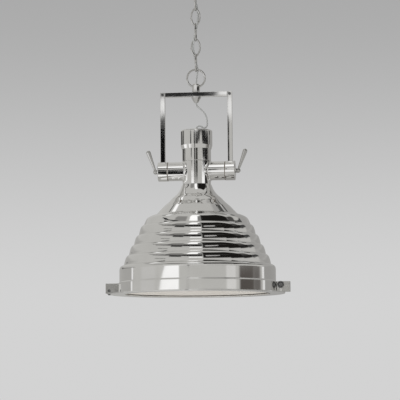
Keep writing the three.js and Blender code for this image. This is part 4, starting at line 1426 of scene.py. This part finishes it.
@dataclass
class Shade(Assembly):
    """The ribbed shade, spun from one sheet, and the nut that holds it under the neck."""

    facets: int = 192
    wall: float = 1.2
    throat: float = 40.3
    lip: float = 34.0
    top: float = 300.3
    kink: Pair = (91.0, 240.8)
    crown: Pair = (111.8, 218.7)
    rib_top: Pair = (146.6, 188.9)
    rib_foot: Pair = (201.5, 79.1)
    ribs: int = 4
    swell: float = 4.4
    band_radius: float = 214.0
    band_top: float = 66.3
    hoop_radius: float = 216.5
    hoop_top: float = 31.7
    hoop_foot: float = 3.3
    screw_level: float = 26.4
    nut_slots: int = 6
    sharp: float = 24.0
    rib_section: tuple[Pair, ...] = (
        (0, 0), (0.1, 0.66), (0.19, 0.89), (0.3, 1), (0.45, 0.91), (0.556, 0.78), (0.75, 0.48), (0.9, 0.18), (1, 0))
    top_section: tuple[Pair, ...] = ((0, 0), (0.332, 6.34), (0.607, 8.15), (0.867, 3.4), (1, 0))

    def outside(self) -> Outline:
        """Gives the shade's outer side.

        Returns:
            Its outline from the throat down, with its ribs still a straight cone.
        """
        flare = eased([(self.throat, self.top), (46.5, 285.8), (56.0, 273.3), (66.9, 263.7), (75.5, 254.3),
                       self.kink], 2.5)
        slope = rounded(flare[-2], (*self.kink, 3), self.crown, closed=False, steps=3)[1:]
        (r0, h0), (r1, h1) = self.crown, self.rib_top
        length = math.hypot(r1 - r0, h1 - h0)
        out, rise = (h0 - h1) / length, (r1 - r0) / length
        rib = eased([(r0 + (r1 - r0) * share + out * swell, h0 + (h1 - h0) * share + rise * swell)
                     for share, swell in self.top_section], 2.0)[1:]
        rows = self.ribs * 16
        (r2, h2) = self.rib_foot
        cone = [(r1 + (r2 - r1) * i / rows, h1 + (h2 - h1) * i / rows) for i in range(1, rows + 1)]
        shoulder = eased([self.rib_foot, (207.75, 77.3), (212.25, 73.3), (self.band_radius, self.band_top)], 1.6)[1:]
        hoop = rounded(shoulder[-1], (self.band_radius, self.hoop_top + 2.6, 2.2), (
            self.hoop_radius, self.hoop_top - 0.6, 1.8), (self.hoop_radius, self.hoop_foot), closed=False, steps=4)[1:]
        return [*flare[:-1], *slope, *rib, *cone, *shoulder, *hoop]

    def build(self) -> None:
        """Makes the shade and its nut."""
        outside = self.outside()
        inside = inset(outside, self.wall)
        inside[0] = (self.throat - self.wall, self.top - self.wall)
        inside[-1] = (self.hoop_radius - self.wall, self.hoop_foot)
        section = [*outside, *reversed(inside), (self.lip, self.top - self.wall), (self.lip, self.top)]
        cone = self.maker.turned("shade_cone", section, self.facets, ring=True)
        tree = RibTree(list(self.rib_section))
        mesh = tree.run("shade", cone.data, self.shop.material(SPUN), Ribs=self.ribs, Swell=self.swell * MM,
                        Top_Radius=self.rib_top[0] * MM, Top_Level=up(self.rib_top[1]),
                        Foot_Radius=self.rib_foot[0] * MM, Foot_Level=up(self.rib_foot[1]))
        bpy.data.objects.remove(cone)
        spun = self.maker.piece("spun_shade", mesh, self.sharp)
        holes = [self.rod(Facing.RIGHT, 2.3, *reach, at(0, 0, self.screw_level), 24)
                 for reach in ((210, 222), (-222, -210))]
        self.cut(spun, *holes, sharp=self.sharp)
        self.shop.hand_over(spun, SPUN, "lamp", "shade")
        nut = self.maker.turned("shade_locknut", tube_section(self.lip, 38, 289.8, 298.8, (0.4, 0.5)), ring=True)
        slot = self.maker.block("slot", at(36.6, -2.5, 289), at(39, 2.5, 293.6), 0)
        slots = self.maker.rounds.run("slots", slot.data, self.shop.material(ZINC), Count=self.nut_slots)
        bpy.data.objects.remove(slot)
        self.cut(nut, self.maker.piece("slots", slots))
        self.shop.hand_over(nut, ZINC, "lamp", "shade_nut")


@dataclass
class Neck(Assembly):
    """The neck casting with its arms, the sleeve and the cap on it, and the cord's grip."""

    facets: int = 128
    radius: float = 38.5
    foot: float = 300.6
    top: float = 365.6
    arm_level: float = 338.6
    arm_radius: float = 26.0
    arm_reach: float = 78.5
    trunnion_radius: float = 12.0
    trunnion_reach: float = 102.7
    fillet: float = 4.5
    fillet_reach: float = 70.0
    bore: float = 27.0
    upper_bore: float = 30.0
    bore_step: float = 331.6
    screw_bore: float = 4.3

    def arms(self) -> Piece:
        """Makes the two arms with their trunnions.

        Returns:
            The arms as one piece, swelling where they run into the neck.
        """
        half = [(self.arm_radius, self.radius * share) for share in (0.02, 0.5)]
        half += [(self.arm_radius, 24.0 + i * 0.9) for i in range(30)]
        half += rounded(half[-1], (self.arm_radius, self.arm_reach, 1.0), (self.trunnion_radius, self.arm_reach, 0.8),
                        (self.trunnion_radius, self.trunnion_reach, 0.6), (0, self.trunnion_reach), closed=False)[1:]
        outline = [(r, -h) for r, h in reversed(half)] + half
        arms = self.maker.turned("arms", outline, 96, facing=Facing.RIGHT, centre=at(0, 0, self.arm_level))
        for vert in arms.data.vertices:
            x, y, rise = vert.co.x / MM, vert.co.y / MM, vert.co.z / MM - up(self.arm_level) / MM
            across = math.hypot(y, rise)
            if across < self.arm_radius * 0.9 or abs(x) > self.fillet_reach:
                continue
            gap = abs(x) - math.sqrt(max(self.radius ** 2 - y ** 2, 0))
            if gap < self.fillet:
                gap = max(gap, 0)
                swell = self.fillet - math.sqrt(self.fillet ** 2 - (self.fillet - gap) ** 2)
                grown = 1 + swell / across
                vert.co = at(x, y * grown, self.arm_level + rise * grown)
        return arms

    def build(self) -> None:
        """Makes the neck, the sleeve, the cap and the grip."""
        step, bore, upper_bore = self.bore_step, self.bore, self.upper_bore
        neck = self.maker.turned("neck_column", rounded(
            (bore, 287.6, 0.5), (33.7, 287.6, 0.8), (33.7, self.foot), (self.radius, self.foot, 1.2),
            (self.radius, self.top, 0.8), (36, self.top), (36, 379.6, 0.8), (upper_bore, 379.6, 0.5),
            (upper_bore, step), (bore, step, 0.5)), self.facets, ring=True)
        inner = self.rod(Facing.UP, bore, 280, step, at(0, 0, 0), self.facets)
        upper = self.rod(Facing.UP, upper_bore, step - 0.01, 385, at(0, 0, 0), self.facets)
        screw = self.rod(Facing.RIGHT, self.screw_bore, -110, 110, at(0, 0, self.arm_level))
        arms = self.cut(self.arms(), inner, upper, screw)
        self.maker.combine(neck, Boolean.JOIN, arms, sharp=28)
        neck.name = neck.data.name = "neck_casting"
        self.shop.hand_over(neck, CAST, "lamp", "neck_housing")
        self.fit("neck_collar", tube_section(36.3, 39.7, 365.9, 411.9, (0.4, 0.8)), CAST, "lamp", "neck_sleeve",
                 facets=self.facets, ring=True)
        cap = rounded((40, 399.2, 0.2), (41, 399.2, 0.4), (43.7, 409.7, 1.5), (43.7, 452.2, 5), (4.3, 452.2, 0.4),
                      (4.3, 447.2, 0.3), (38, 447.2, 2), (38, 412.2, 0.3), (40, 412.2, 0.3), steps=6)
        self.fit("top_cap", cap, CAST, "lamp", "neck_cap", facets=self.facets, ring=True)
        grip = rounded((2.6, 447.2, 0.2), (4, 447.2, 0.3), (4, 452.5), (6.5, 452.5, 0.6), (5.6, 454.6, 0.8),
                       (3.9, 456, 0.8), (2.6, 456, 0.3))
        self.fit("cord_grip", grip, SMALL, "lamp", "cap_cord_grip", facets=64, ring=True)


@dataclass
class Yoke(Assembly):
    """The yoke: two side bars and a top bar of square section, screws, eye stud, gland and hubs."""

    level: float = 338.6
    bar_centre: float = 93.2
    half: float = 6.5
    top: float = 558.6
    bar_foot: float = 357.7
    edge: float = 0.7
    corner_level: float = 552.1
    corner_bore: float = 2.3
    slot_half: float = 2.5
    slot_foot: float = 545.3
    front_lean: float = 0.008  # in radians; it turns the top bar's front face to another part of the room
    eye_level: float = 574.45
    eye_bore: float = 4.25
    cord_bore: float = 2.6
    cord_step: float = 1.2

    def side(self, side: Side) -> None:
        """Makes a side bar with its hub, its corner screw and its friction washer.

        Args:
            side: The side.
        """
        sign = side.value
        low, high = sorted((sign * (self.bar_centre - self.half), sign * (self.bar_centre + self.half)))
        bar = self.maker.block(f"side_bar_{side.word}", at(low, -self.half, self.bar_foot),
                               at(high, self.half, self.top), self.edge)
        slot = self.maker.block("slot", at(low - 2, -self.slot_half, self.slot_foot),
                                at(high + 2, self.slot_half, self.top + 2), 0)
        screw_place = at(sign * self.bar_centre, 0, self.corner_level)
        hole = self.rod(Facing.NEAR, self.corner_bore, -4.5, 10, screw_place, 24)
        self.cut(bar, slot, hole)
        self.shop.hand_over(bar, BAR, "yoke", f"yoke_side_bar_{side.word}")
        outline = [(0, -4.2), (2, -4.2), (2, 6.8), *rounded((2, 6.8), (4, 6.8, 0.4), (4, 7.4), closed=False)[1:],
                   *eased([(4, 7.4), (3.5, 8.2), (2.2, 8.8), (0, 9)], 0.5)[1:]]
        screw = self.maker.turned(f"corner_screw_{side.word}", outline, 40, facing=Facing.NEAR, centre=screw_place)
        slot = self.maker.block("slot", screw_place + Vector((-4.5, -9.5, -0.4)) * MM,
                                screw_place + Vector((4.5, -8.1, 0.4)) * MM, 0)
        self.cut(screw, slot)
        self.shop.hand_over(screw, SCREW_PAINTED_DARK, "yoke", f"yoke_corner_screw_{side.word}")
        hub = self.maker.turned(f"hub_{side.word}", rounded(
            (12.3, 79.9, 0.4), (26.8, 79.9, 0.9), (26.8, 106.5, 1.8), (4.3, 106.5, 0.5), (4.3, 103), (12.3, 103)),
            96, ring=True, facing=Facing.RIGHT, centre=at(0, 0, self.level), side=side)
        socket = self.maker.block("socket", at(low - 0.3, -6.8, 357.4), at(high + 0.3, 6.8, 370), 0)
        self.cut(hub, socket, sharp=28)
        self.shop.hand_over(hub, CAST, "yoke", f"clamp_hub_{side.word}")
        self.fit(f"washer_{side.word}", tube_section(12.3, 26, 78.8, 79.6, (0.1, 0.2), 2), FIBRE, "lamp",
                 f"friction_washer_{side.word}", ring=True, facing=Facing.RIGHT, centre=at(0, 0, self.level), side=side)

    def build(self) -> None:
        """Makes the whole yoke."""
        for side in Side:
            self.side(side)
        under = self.top - 2 * self.half
        bar = self.maker.block("top_bar", at(-86.4, -self.half, under), at(86.4, self.half, self.top), self.edge)
        for vert in bar.data.vertices:
            vert.co.y += self.front_lean * (vert.co.z - up(self.top - self.half))
        tongue = self.maker.block("tongue", at(-99.7, -2.2, under), at(99.7, 2.2, self.top), 0.3, 2)
        self.maker.combine(bar, Boolean.JOIN, tongue)
        holes = [self.rod(Facing.UP, 5.3, under - 3, self.top + 3, at(0, 0, 0))]
        holes += [self.rod(Facing.NEAR, self.corner_bore, -7, 7, at(side.value * self.bar_centre, 0, self.corner_level),
                           24) for side in Side]
        self.cut(bar, *holes)
        self.shop.hand_over(bar, BAR, "yoke", "yoke_top_bar")
        dome = eased([(10.7, 577.6), (8.56, 581.1), (3.75, 582.6), (0, 582.6)], 0.7)
        stud = self.maker.turned("eye_on_yoke", [(0, 537.6), *rounded((0, 537.6), (5, 537.6, 0.5), (5, 558.9), (
            10.7, 558.9, 0.6), dome[0], closed=False)[1:], *dome[1:]], 96)
        eye = self.rod(Facing.RIGHT, self.eye_bore, -13, 13, at(0, 0, self.eye_level))
        entry = curve_through([at(*p) for p in chain_route().points[-7:]], self.cord_step * MM)
        way = self.maker.piece("way", tube_mesh("way", rings_round(entry, self.cord_bore * MM, 24)))
        self.cut(stud, eye, way)
        self.shop.hand_over(stud, SMALL, "yoke", "eye_stud")
        gland = rounded((self.cord_bore, 529.3, 0.3), (5.5, 529.3, 0.6), (13.6, 543.3, 0.5), (13.6, 545.3, 0.3),
                        (5.3, 545.3), (5.3, 537.3), (self.cord_bore, 537.3))
        self.fit("gland_under_yoke", gland, SMALL, "yoke", "cord_gland", facets=12, ring=True, sharp=20)


@dataclass
class Levers(Assembly):
    """The two clamp screws with their knuckles and tapered handles."""

    level: float = 338.6
    knuckle: float = 114.3
    ball: float = 6.7
    lean: float = 0.35
    bore: float = 2.3
    bore_depth: float = 9.0

    def build(self) -> None:
        """Makes a screw and a handle for each side."""
        for side in Side:
            outline = [(0, 80.5), (3.6, 80.5), (4, 81), (4, 106.8),
                       *rounded((4, 106.8), (7, 106.8, 0.3), (7, 109.8, 0.9), (4.96, 109.8), closed=False)[1:-1],
                       *arc((0, self.knuckle), self.ball, -42, 90, 18)]
            screw = self.maker.turned(f"lever_screw_{side.word}", outline, 64, facing=Facing.RIGHT,
                                      centre=at(0, 0, self.level), side=side)
            knuckle = at(self.knuckle, 0, self.level)
            hole = self.maker.turned("cutter", [(0, 0), (self.bore, 0), (self.bore, self.bore_depth),
                                                (0, self.bore_depth)], 32, lean=self.lean, centre=knuckle, side=side)
            self.cut(screw, hole)
            self.shop.hand_over(screw, WIRE_PAINTED_DARK, f"lever_{side.word}", f"clamp_screw_{side.word}")
            outline = [(0, 0.3), (2, 0.3), (2, 7), *rounded((2, 7), (3.2, 7, 0.4), (6.4, 57), closed=False)[1:-1],
                       *arc((0, 57), 6.4, 4, 90, 14)]
            self.fit(f"lever_handle_{side.word}", outline, WIRE_PAINTED_DARK, f"lever_{side.word}", f"clamp_handle_{side.word}",
                     facets=64, lean=self.lean, centre=knuckle, side=side)


@dataclass
class Chain(Assembly):
    """The five links and the ring, of bent wire."""

    wire: float = 2.3
    half_length: float = 24.0
    half_width: float = 11.95
    end_radius: float = 5.4
    ring_radius: float = 24.85
    ring_wire: float = 2.5
    ring_level: float = 597.95

    def link_line(self, steps: int = 96) -> Outline:
        """Gives the centre line of a link's wire.

        Args:
            steps: How many points it has.

        Returns:
            Its points: two small arcs at its ends and two large ones at its sides.
        """
        ends = self.half_length - self.end_radius
        side_radius = (self.half_width ** 2 + ends ** 2 - self.end_radius ** 2) / (
            2 * (self.half_width - self.end_radius))
        turn = math.atan2(ends, side_radius - self.half_width)
        line = []
        for step in range(steps):
            angle = 2 * math.pi * step / steps
            out, rise = math.cos(angle), math.sin(angle)
            if abs(rise) < math.sin(turn):
                centre, radius = (math.copysign(side_radius - self.half_width, -out), 0), side_radius
            else:
                centre, radius = (0, math.copysign(ends, rise)), self.end_radius
            line.append((centre[0] + out * radius, centre[1] + rise * radius))
        return line

    def build(self) -> None:
        """Makes the links and the ring."""
        for number in range(1, LINKS + 1):
            level = CHAIN_TOP - (number - 1) * LINK_PITCH
            line = [at(0, out, level + rise) if number % 2 else at(out, 0, level + rise)
                    for out, rise in self.link_line()]
            link = self.maker.bent(f"wire_link_{number}", line, self.wire)
            self.shop.hand_over(link, WIRE_PAINTED_DARK, f"chain_link_{number}", f"chain_link_{number}")
        ring = self.maker.bent("ring_of_wire", [at(r, 0, self.ring_level + h) for r, h in
                                                arc((0, 0), self.ring_radius, 0, 360, 128)[:-1]], self.ring_wire, 20)
        self.shop.hand_over(ring, WIRE_PAINTED_DARK, "ring", "hanging_ring")


@dataclass
class Canopy(Assembly):
    """The ceiling plate with its stud, the canopy, its loop, the cord's bush and the terminal block."""

    radius: float = 57.5
    foot: float = 858.2
    wall: float = 1.2
    bush_y: float = 30.0
    bore: float = 5.3
    plate_holes: float = 34.0
    loop_level: float = 841.4

    def build(self) -> None:
        """Makes all the pieces at the ceiling."""
        ceiling, height = CEILING, CEILING - self.foot - 6
        shares = [(0.3, 0), (0.55, 0), (0.75, 0.07), (0.89, 0.24), (0.97, 0.5), (1, 1)]
        outside = eased([(self.bore, self.foot), *((out * self.radius, self.foot + rise * height)
                                                   for out, rise in shares)], 1.5)
        outside.append((self.radius, ceiling))
        inside = inset(outside, -self.wall)
        inside[0], inside[-1] = (self.bore, self.foot + self.wall), (self.radius - self.wall, ceiling)
        canopy = self.maker.turned("canopy_shell", [*outside, *reversed(inside)], 128, ring=True)
        self.cut(canopy, self.rod(Facing.UP, self.bore, self.foot - 2, self.foot + 4, at(0, self.bush_y, 0), 32))
        self.shop.hand_over(canopy, SPUN, "ceiling", "ceiling_canopy")
        plate = self.maker.turned("plate_at_ceiling", rounded(
            (0, 853.5), (5, 853.5, 0.5), (5, 897.2), (48, 897.2, 0.5), (48, ceiling, 0.3), (0, ceiling), closed=False))
        holes = [self.rod(Facing.UP, 2.8, 895, 902, at(side.value * self.plate_holes, 0, 0), 32) for side in Side]
        self.cut(plate, *holes)
        self.shop.hand_over(plate, ZINC, "ceiling", "ceiling_plate")
        collar = self.maker.turned("loop_under_canopy", rounded(
            (0, 847.9), (11, 847.9, 1.2), (11, 857.9, 0.6), (0, 857.9), closed=False), 64)
        hoop = self.maker.bent("hoop", [at(r, 0, h) for r, h in arc((0, self.loop_level), 9, 0, 360, 72)[:-1]], 2.5)
        self.maker.combine(collar, Boolean.JOIN, hoop)
        self.cut(collar, self.rod(Facing.UP, self.bore, 853.2, 860, at(0, 0, 0)))
        self.shop.hand_over(collar, SMALL, "ceiling", "canopy_loop")
        bush = rounded((2.6, 856.4, 0.4), (7, 856.4, 0.6), (7, 857.9, 0.3), (5, 857.9), (5, 860.9, 0.4),
                       (2.6, 860.9, 0.3))
        self.fit("bush_for_cord", bush, RUBBER, "ceiling", "canopy_cord_bush", facets=48, ring=True,
                 centre=at(0, self.bush_y, 0))
        block = self.maker.block("terminal_strip", at(-15, 22, 884.9), at(15, 38, 896.9), 0.8)
        wells = [self.rod(Facing.UP, 2.6, 880, 890, at(x, y, 0), 24) for x in (-10, 10) for y in (26, 34)]
        self.cut(block, *wells)
        self.shop.hand_over(block, PLASTIC, "ceiling", "terminal_block")


@dataclass
class LampHolder(Assembly):
    """The bridge, the lamp holder and the bulb inside the lamp."""

    bulb_radius: float = 30.0
    bulb_foot: float = 202.0
    bulb_height: float = 84.0
    cap_radius: float = 13.4
    thread_depth: float = 0.9

    def build(self) -> None:
        """Makes the bridge, the holder, the bulb's cap and the bulb."""
        self.fit("bridge_in_neck", tube_section(2.6, 29.7, 331.9, 334.9, (0.2, 0.4)), ZINC, "lamp", "holder_bridge",
                 ring=True)
        holder = rounded((0, 322.6), (13.9, 322.6), (13.9, 290.6, 0.8), (20, 290.6, 1.4), (20, 296, 0.6),
                         (19.2, 297, 0.6), (20, 298, 0.6), (20, 321.35, 3), (14, 331.6, 1), (0, 331.6), closed=False)
        self.fit("porcelain_holder", holder, PORCELAIN, "lamp", "lamp_holder")
        thread = [(self.cap_radius - self.thread_depth * (1 - math.cos(math.radians(72 * i))) / 2, 287.4 + i * 0.62)
                  for i in range(46)]
        cap = [(0, 286.3), (12.6, 286.3), (13.2, 286.8), *thread, (12.4, 317.4), (8.6, 320.2), (5.36, 321.4),
               (4.6, 322.3), (0, 322.3)]
        self.fit("threaded_cap", cap, NICKEL_CAP, "lamp", "bulb_cap", facets=64)
        shares = [(0, 0), (0.25, 0.01), (0.5, 0.045), (0.85, 0.17), (1, 0.36), (0.93, 0.54), (0.7, 0.72), (0.5, 0.86),
                  (0.43, 1)]
        outside = eased([(r * self.bulb_radius, self.bulb_foot + h * self.bulb_height) for r, h in shares], 2)
        inside = inset(outside, -1)
        inside[0] = (0, self.bulb_foot + 1)
        inside[-1] = (outside[-1][0] - 1, outside[-1][1])
        self.fit("pearl_bulb", [*outside, *reversed(inside)], BULB, "lamp", "bulb_glass")


@dataclass
class Bezel(Assembly):
    """The hinged rim with its ears, and the frosted pane between its gasket and its snap ring."""

    facets: int = 192
    bore: float = 198.0
    radius: float = 239.0
    thickness: float = 3.0
    upstand: float = 210.0
    pane: float = 206.4
    hinge_x: float = -243.0
    hinge_level: float = 12.0
    latch_x: float = 228.0
    latch_level: float = 23.0
    ear_half: float = 5.5
    pin_bore: float = 2.8

    def build(self) -> None:
        """Makes the rim, the gasket, the pane and the snap ring."""
        half = self.ear_half
        ring = self.maker.turned("hinged_rim", rounded(
            (self.bore, 0, 0.8), (self.radius, 0, 1.3), (self.radius, self.thickness, 1.3),
            (self.upstand, self.thickness, 0.6), (self.upstand, 15, 0.8), (207, 15, 0.8), (207, self.thickness),
            (self.bore, self.thickness, 0.5)), self.facets, ring=True)
        notch = self.maker.block("notch", at(-243, -15, -2), at(-230, 15, 4), 0)
        self.cut(ring, notch)
        arm = self.maker.block("arm", at(self.hinge_x - 4.9, -half, 0), at(self.hinge_x + 17, half, 7.2), 0.5)
        knuckle = self.rod_with_edges(7, half, self.hinge_x, self.hinge_level)
        post = self.maker.block("post", at(220.6, -half, 1.5), at(238, half, 29), 1.2)
        self.maker.combine(ring, Boolean.JOIN, arm, knuckle, post)
        holes = [self.rod(Facing.NEAR, self.pin_bore, -8, 8, at(x, 0, level), 32)
                 for x, level in ((self.hinge_x, self.hinge_level), (self.latch_x, self.latch_level))]
        self.cut(ring, *holes)
        self.shop.hand_over(ring, CAST, "bezel", "bezel_ring")
        self.fit("pane_gasket", tube_section(199.4, self.pane, 3.3, 4.8, (0.3, 0.3), 2), RUBBER, "bezel",
                 "glass_gasket", facets=self.facets, ring=True)
        pane = rounded((0, 5.1), (self.pane, 5.1, 0.8), (self.pane, 9.1, 0.8), (0, 9.1), closed=False)
        self.fit("frosted_glass", pane, PANE, "bezel", "glass_pane", facets=self.facets)
        snap = self.maker.turned("split_snap_ring", tube_section(202.9, self.pane, 9.4, 10.9, (0.3, 0.3), 2),
                                 self.facets, ring=True)
        self.cut(snap, self.maker.block("gap", at(-6, 200, 8), at(6, 209, 12), 0))
        self.shop.hand_over(snap, ZINC, "bezel", "glass_snap_ring")

    def rod_with_edges(self, radius: float, half: float, x: float, level: float) -> Piece:
        """Makes a rod along Y with rounded edges, given its radius, half its length and its axis."""
        return self.maker.turned("rod", rounded((0, -half), (radius, -half, 0.5), (radius, half, 0.5), (0, half),
                                                closed=False), 48, facing=Facing.NEAR, centre=at(x, 0, level))


@dataclass
class Lugs(Assembly):
    """The hinge and latch brackets on the hoop, with their pin, thumbscrew, nut and screws."""

    inner: float = 216.8
    base: float = 3.5
    outer: float = 253.0
    half: float = 14.0
    gap: float = 6.0
    foot: float = 4.0
    top: float = 32.0
    screw_level: float = 26.4
    hinge: Pair = (-243.0, 12.0)
    latch: Pair = (228.0, 23.0)
    slot_half: float = 3.1
    pin_bore: float = 2.8
    screw_bore: float = 2.3
    knurl_from: float = 9.0
    knurl_depth: float = 0.045

    def bracket(self, side: Side) -> Piece:
        """Makes a bracket of a base and two cheeks.

        Args:
            side: The side of the lamp that it is on.

        Returns:
            The bracket with the hole of its screw.
        """
        sign = side.value

        def part(x0: float, x1: float, y0: float, y1: float, edge: float) -> Piece:
            """Makes one block of the bracket."""
            low, high = sorted((sign * x0, sign * x1))
            return self.maker.block("part", at(low, y0, self.foot), at(high, y1, self.top), edge)

        made = part(self.inner, self.inner + self.base, -self.half, self.half, 0.5)
        for face in (-1, 1):
            near, far = sorted((face * self.gap, face * self.half))
            self.maker.combine(made, Boolean.JOIN, part(self.inner + 1.75, self.outer, near, far, 1.0))
        low, high = sorted((sign * (self.inner - 2), sign * (self.inner + self.base + 2)))
        self.cut(made, self.rod(Facing.RIGHT, self.screw_bore, low, high, at(0, 0, self.screw_level), 24))
        return made

    def build(self) -> None:
        """Makes both brackets and what they hold."""
        hinge = self.bracket(Side.LEFT)
        (x, level) = self.hinge
        self.cut(hinge, self.rod(Facing.NEAR, self.pin_bore, -16, 16, at(x, 0, level), 32))
        hinge.name = hinge.data.name = "hinge_lug"
        self.shop.hand_over(hinge, LUG, "lamp", "hinge_bracket")
        pin = [(0, -16.2), (2.2, -16.2), (2.5, -15.8), *rounded(
            (2.5, 14.3), (4, 14.3, 0.3), (4, 16.5, 0.9), (2.6, 16.5, 0.3), (2.2, 14.9, 0.3), (0, 14.7), closed=False)]
        self.fit("pin_of_hinge", pin, SCREW_PAINTED_DARK, "lamp", "hinge_pin", facets=40, facing=Facing.NEAR, centre=at(x, 0, level))
        latch = self.bracket(Side.RIGHT)
        (x, level) = self.latch
        slot = self.maker.block("slot", at(x - self.slot_half, -16, 2), at(x + self.slot_half, 16, level), 0)
        end = self.rod(Facing.NEAR, self.slot_half, -16, 16, at(x, 0, level), 32)
        self.cut(latch, slot, end)
        latch.name = latch.data.name = "latch_lug"
        self.shop.hand_over(latch, LUG, "lamp", "latch_bracket")
        screw = self.maker.turned("thumbscrew", [(0, -20.8), (2.1, -20.8), (2.5, -20.4), (2.5, 14.3), *rounded(
            (2.5, 14.3), (7.5, 14.3, 0.5), (9.5, 15.6, 0.6), (9.5, 21, 0.8), (7.9, 22.3, 0.8), (6.7, 22.2, 0.4),
            (6, 20.4, 0.4), (4.4, 21.3, 1.2), (0, 22.3), closed=False)[1:]], 96, facing=Facing.NEAR,
            centre=at(x, 0, level))
        self.knurl(screw, x, level)
        self.shop.hand_over(screw, SCREW_PAINTED_DARK, "latch", "latch_screw")
        nut = rounded((2.8, -18.8, 0.3), (5.2, -18.8), (6, -18.2), (6, -14.9), (5.2, -14.3), (2.8, -14.3, 0.3))
        self.fit("nut_of_thumbscrew", nut, SMALL, "bezel", "latch_nut", facets=6, ring=True, facing=Facing.NEAR,
                 centre=at(x, 0, level), sharp=20)
        screw = [*rounded((0, 213.2), (3.5, 213.2, 0.9), (3.5, 214.7, 0.2), (2, 214.7), closed=False), (2, 220.3),
                 (0, 220.3)]
        for side in Side:
            self.fit(f"screw_of_lug_{side.word}", screw, ZINC, "lamp", f"bracket_screw_{side.word}", facets=40,
                     facing=Facing.RIGHT, centre=at(0, 0, self.screw_level), side=side)

    def knurl(self, screw: Piece, x: float, level: float, flutes: int = 24) -> None:
        """Presses shallow flutes into the thumbscrew's rim.

        Args:
            screw: The thumbscrew.
            x: The place of its axis.
            level: The height of its axis.
            flutes: How many flutes go round.
        """
        for vert in screw.data.vertices:
            across, rise = vert.co.x - x * MM, vert.co.z - up(level)
            radius = math.hypot(across, rise)
            if radius > self.knurl_from * MM:
                share = 1 - self.knurl_depth * (1 + math.cos(flutes * math.atan2(rise, across))) / 2
                vert.co.x, vert.co.z = x * MM + across * share, up(level) + rise * share


def main() -> None:
    """Builds the whole scene."""
    logging.basicConfig(level=logging.INFO, format="%(message)s")
    shop = Workshop()
    Studio().build()
    Cords(shop).build()
    maker = Maker(shop)
    for assembly in (Canopy, Chain, Yoke, Levers, Neck, LampHolder, Shade, Bezel, Lugs):
        assembly(shop, maker).build()
        log.info("%s is done", assembly.__name__)


if __name__ == "__main__":
    main()
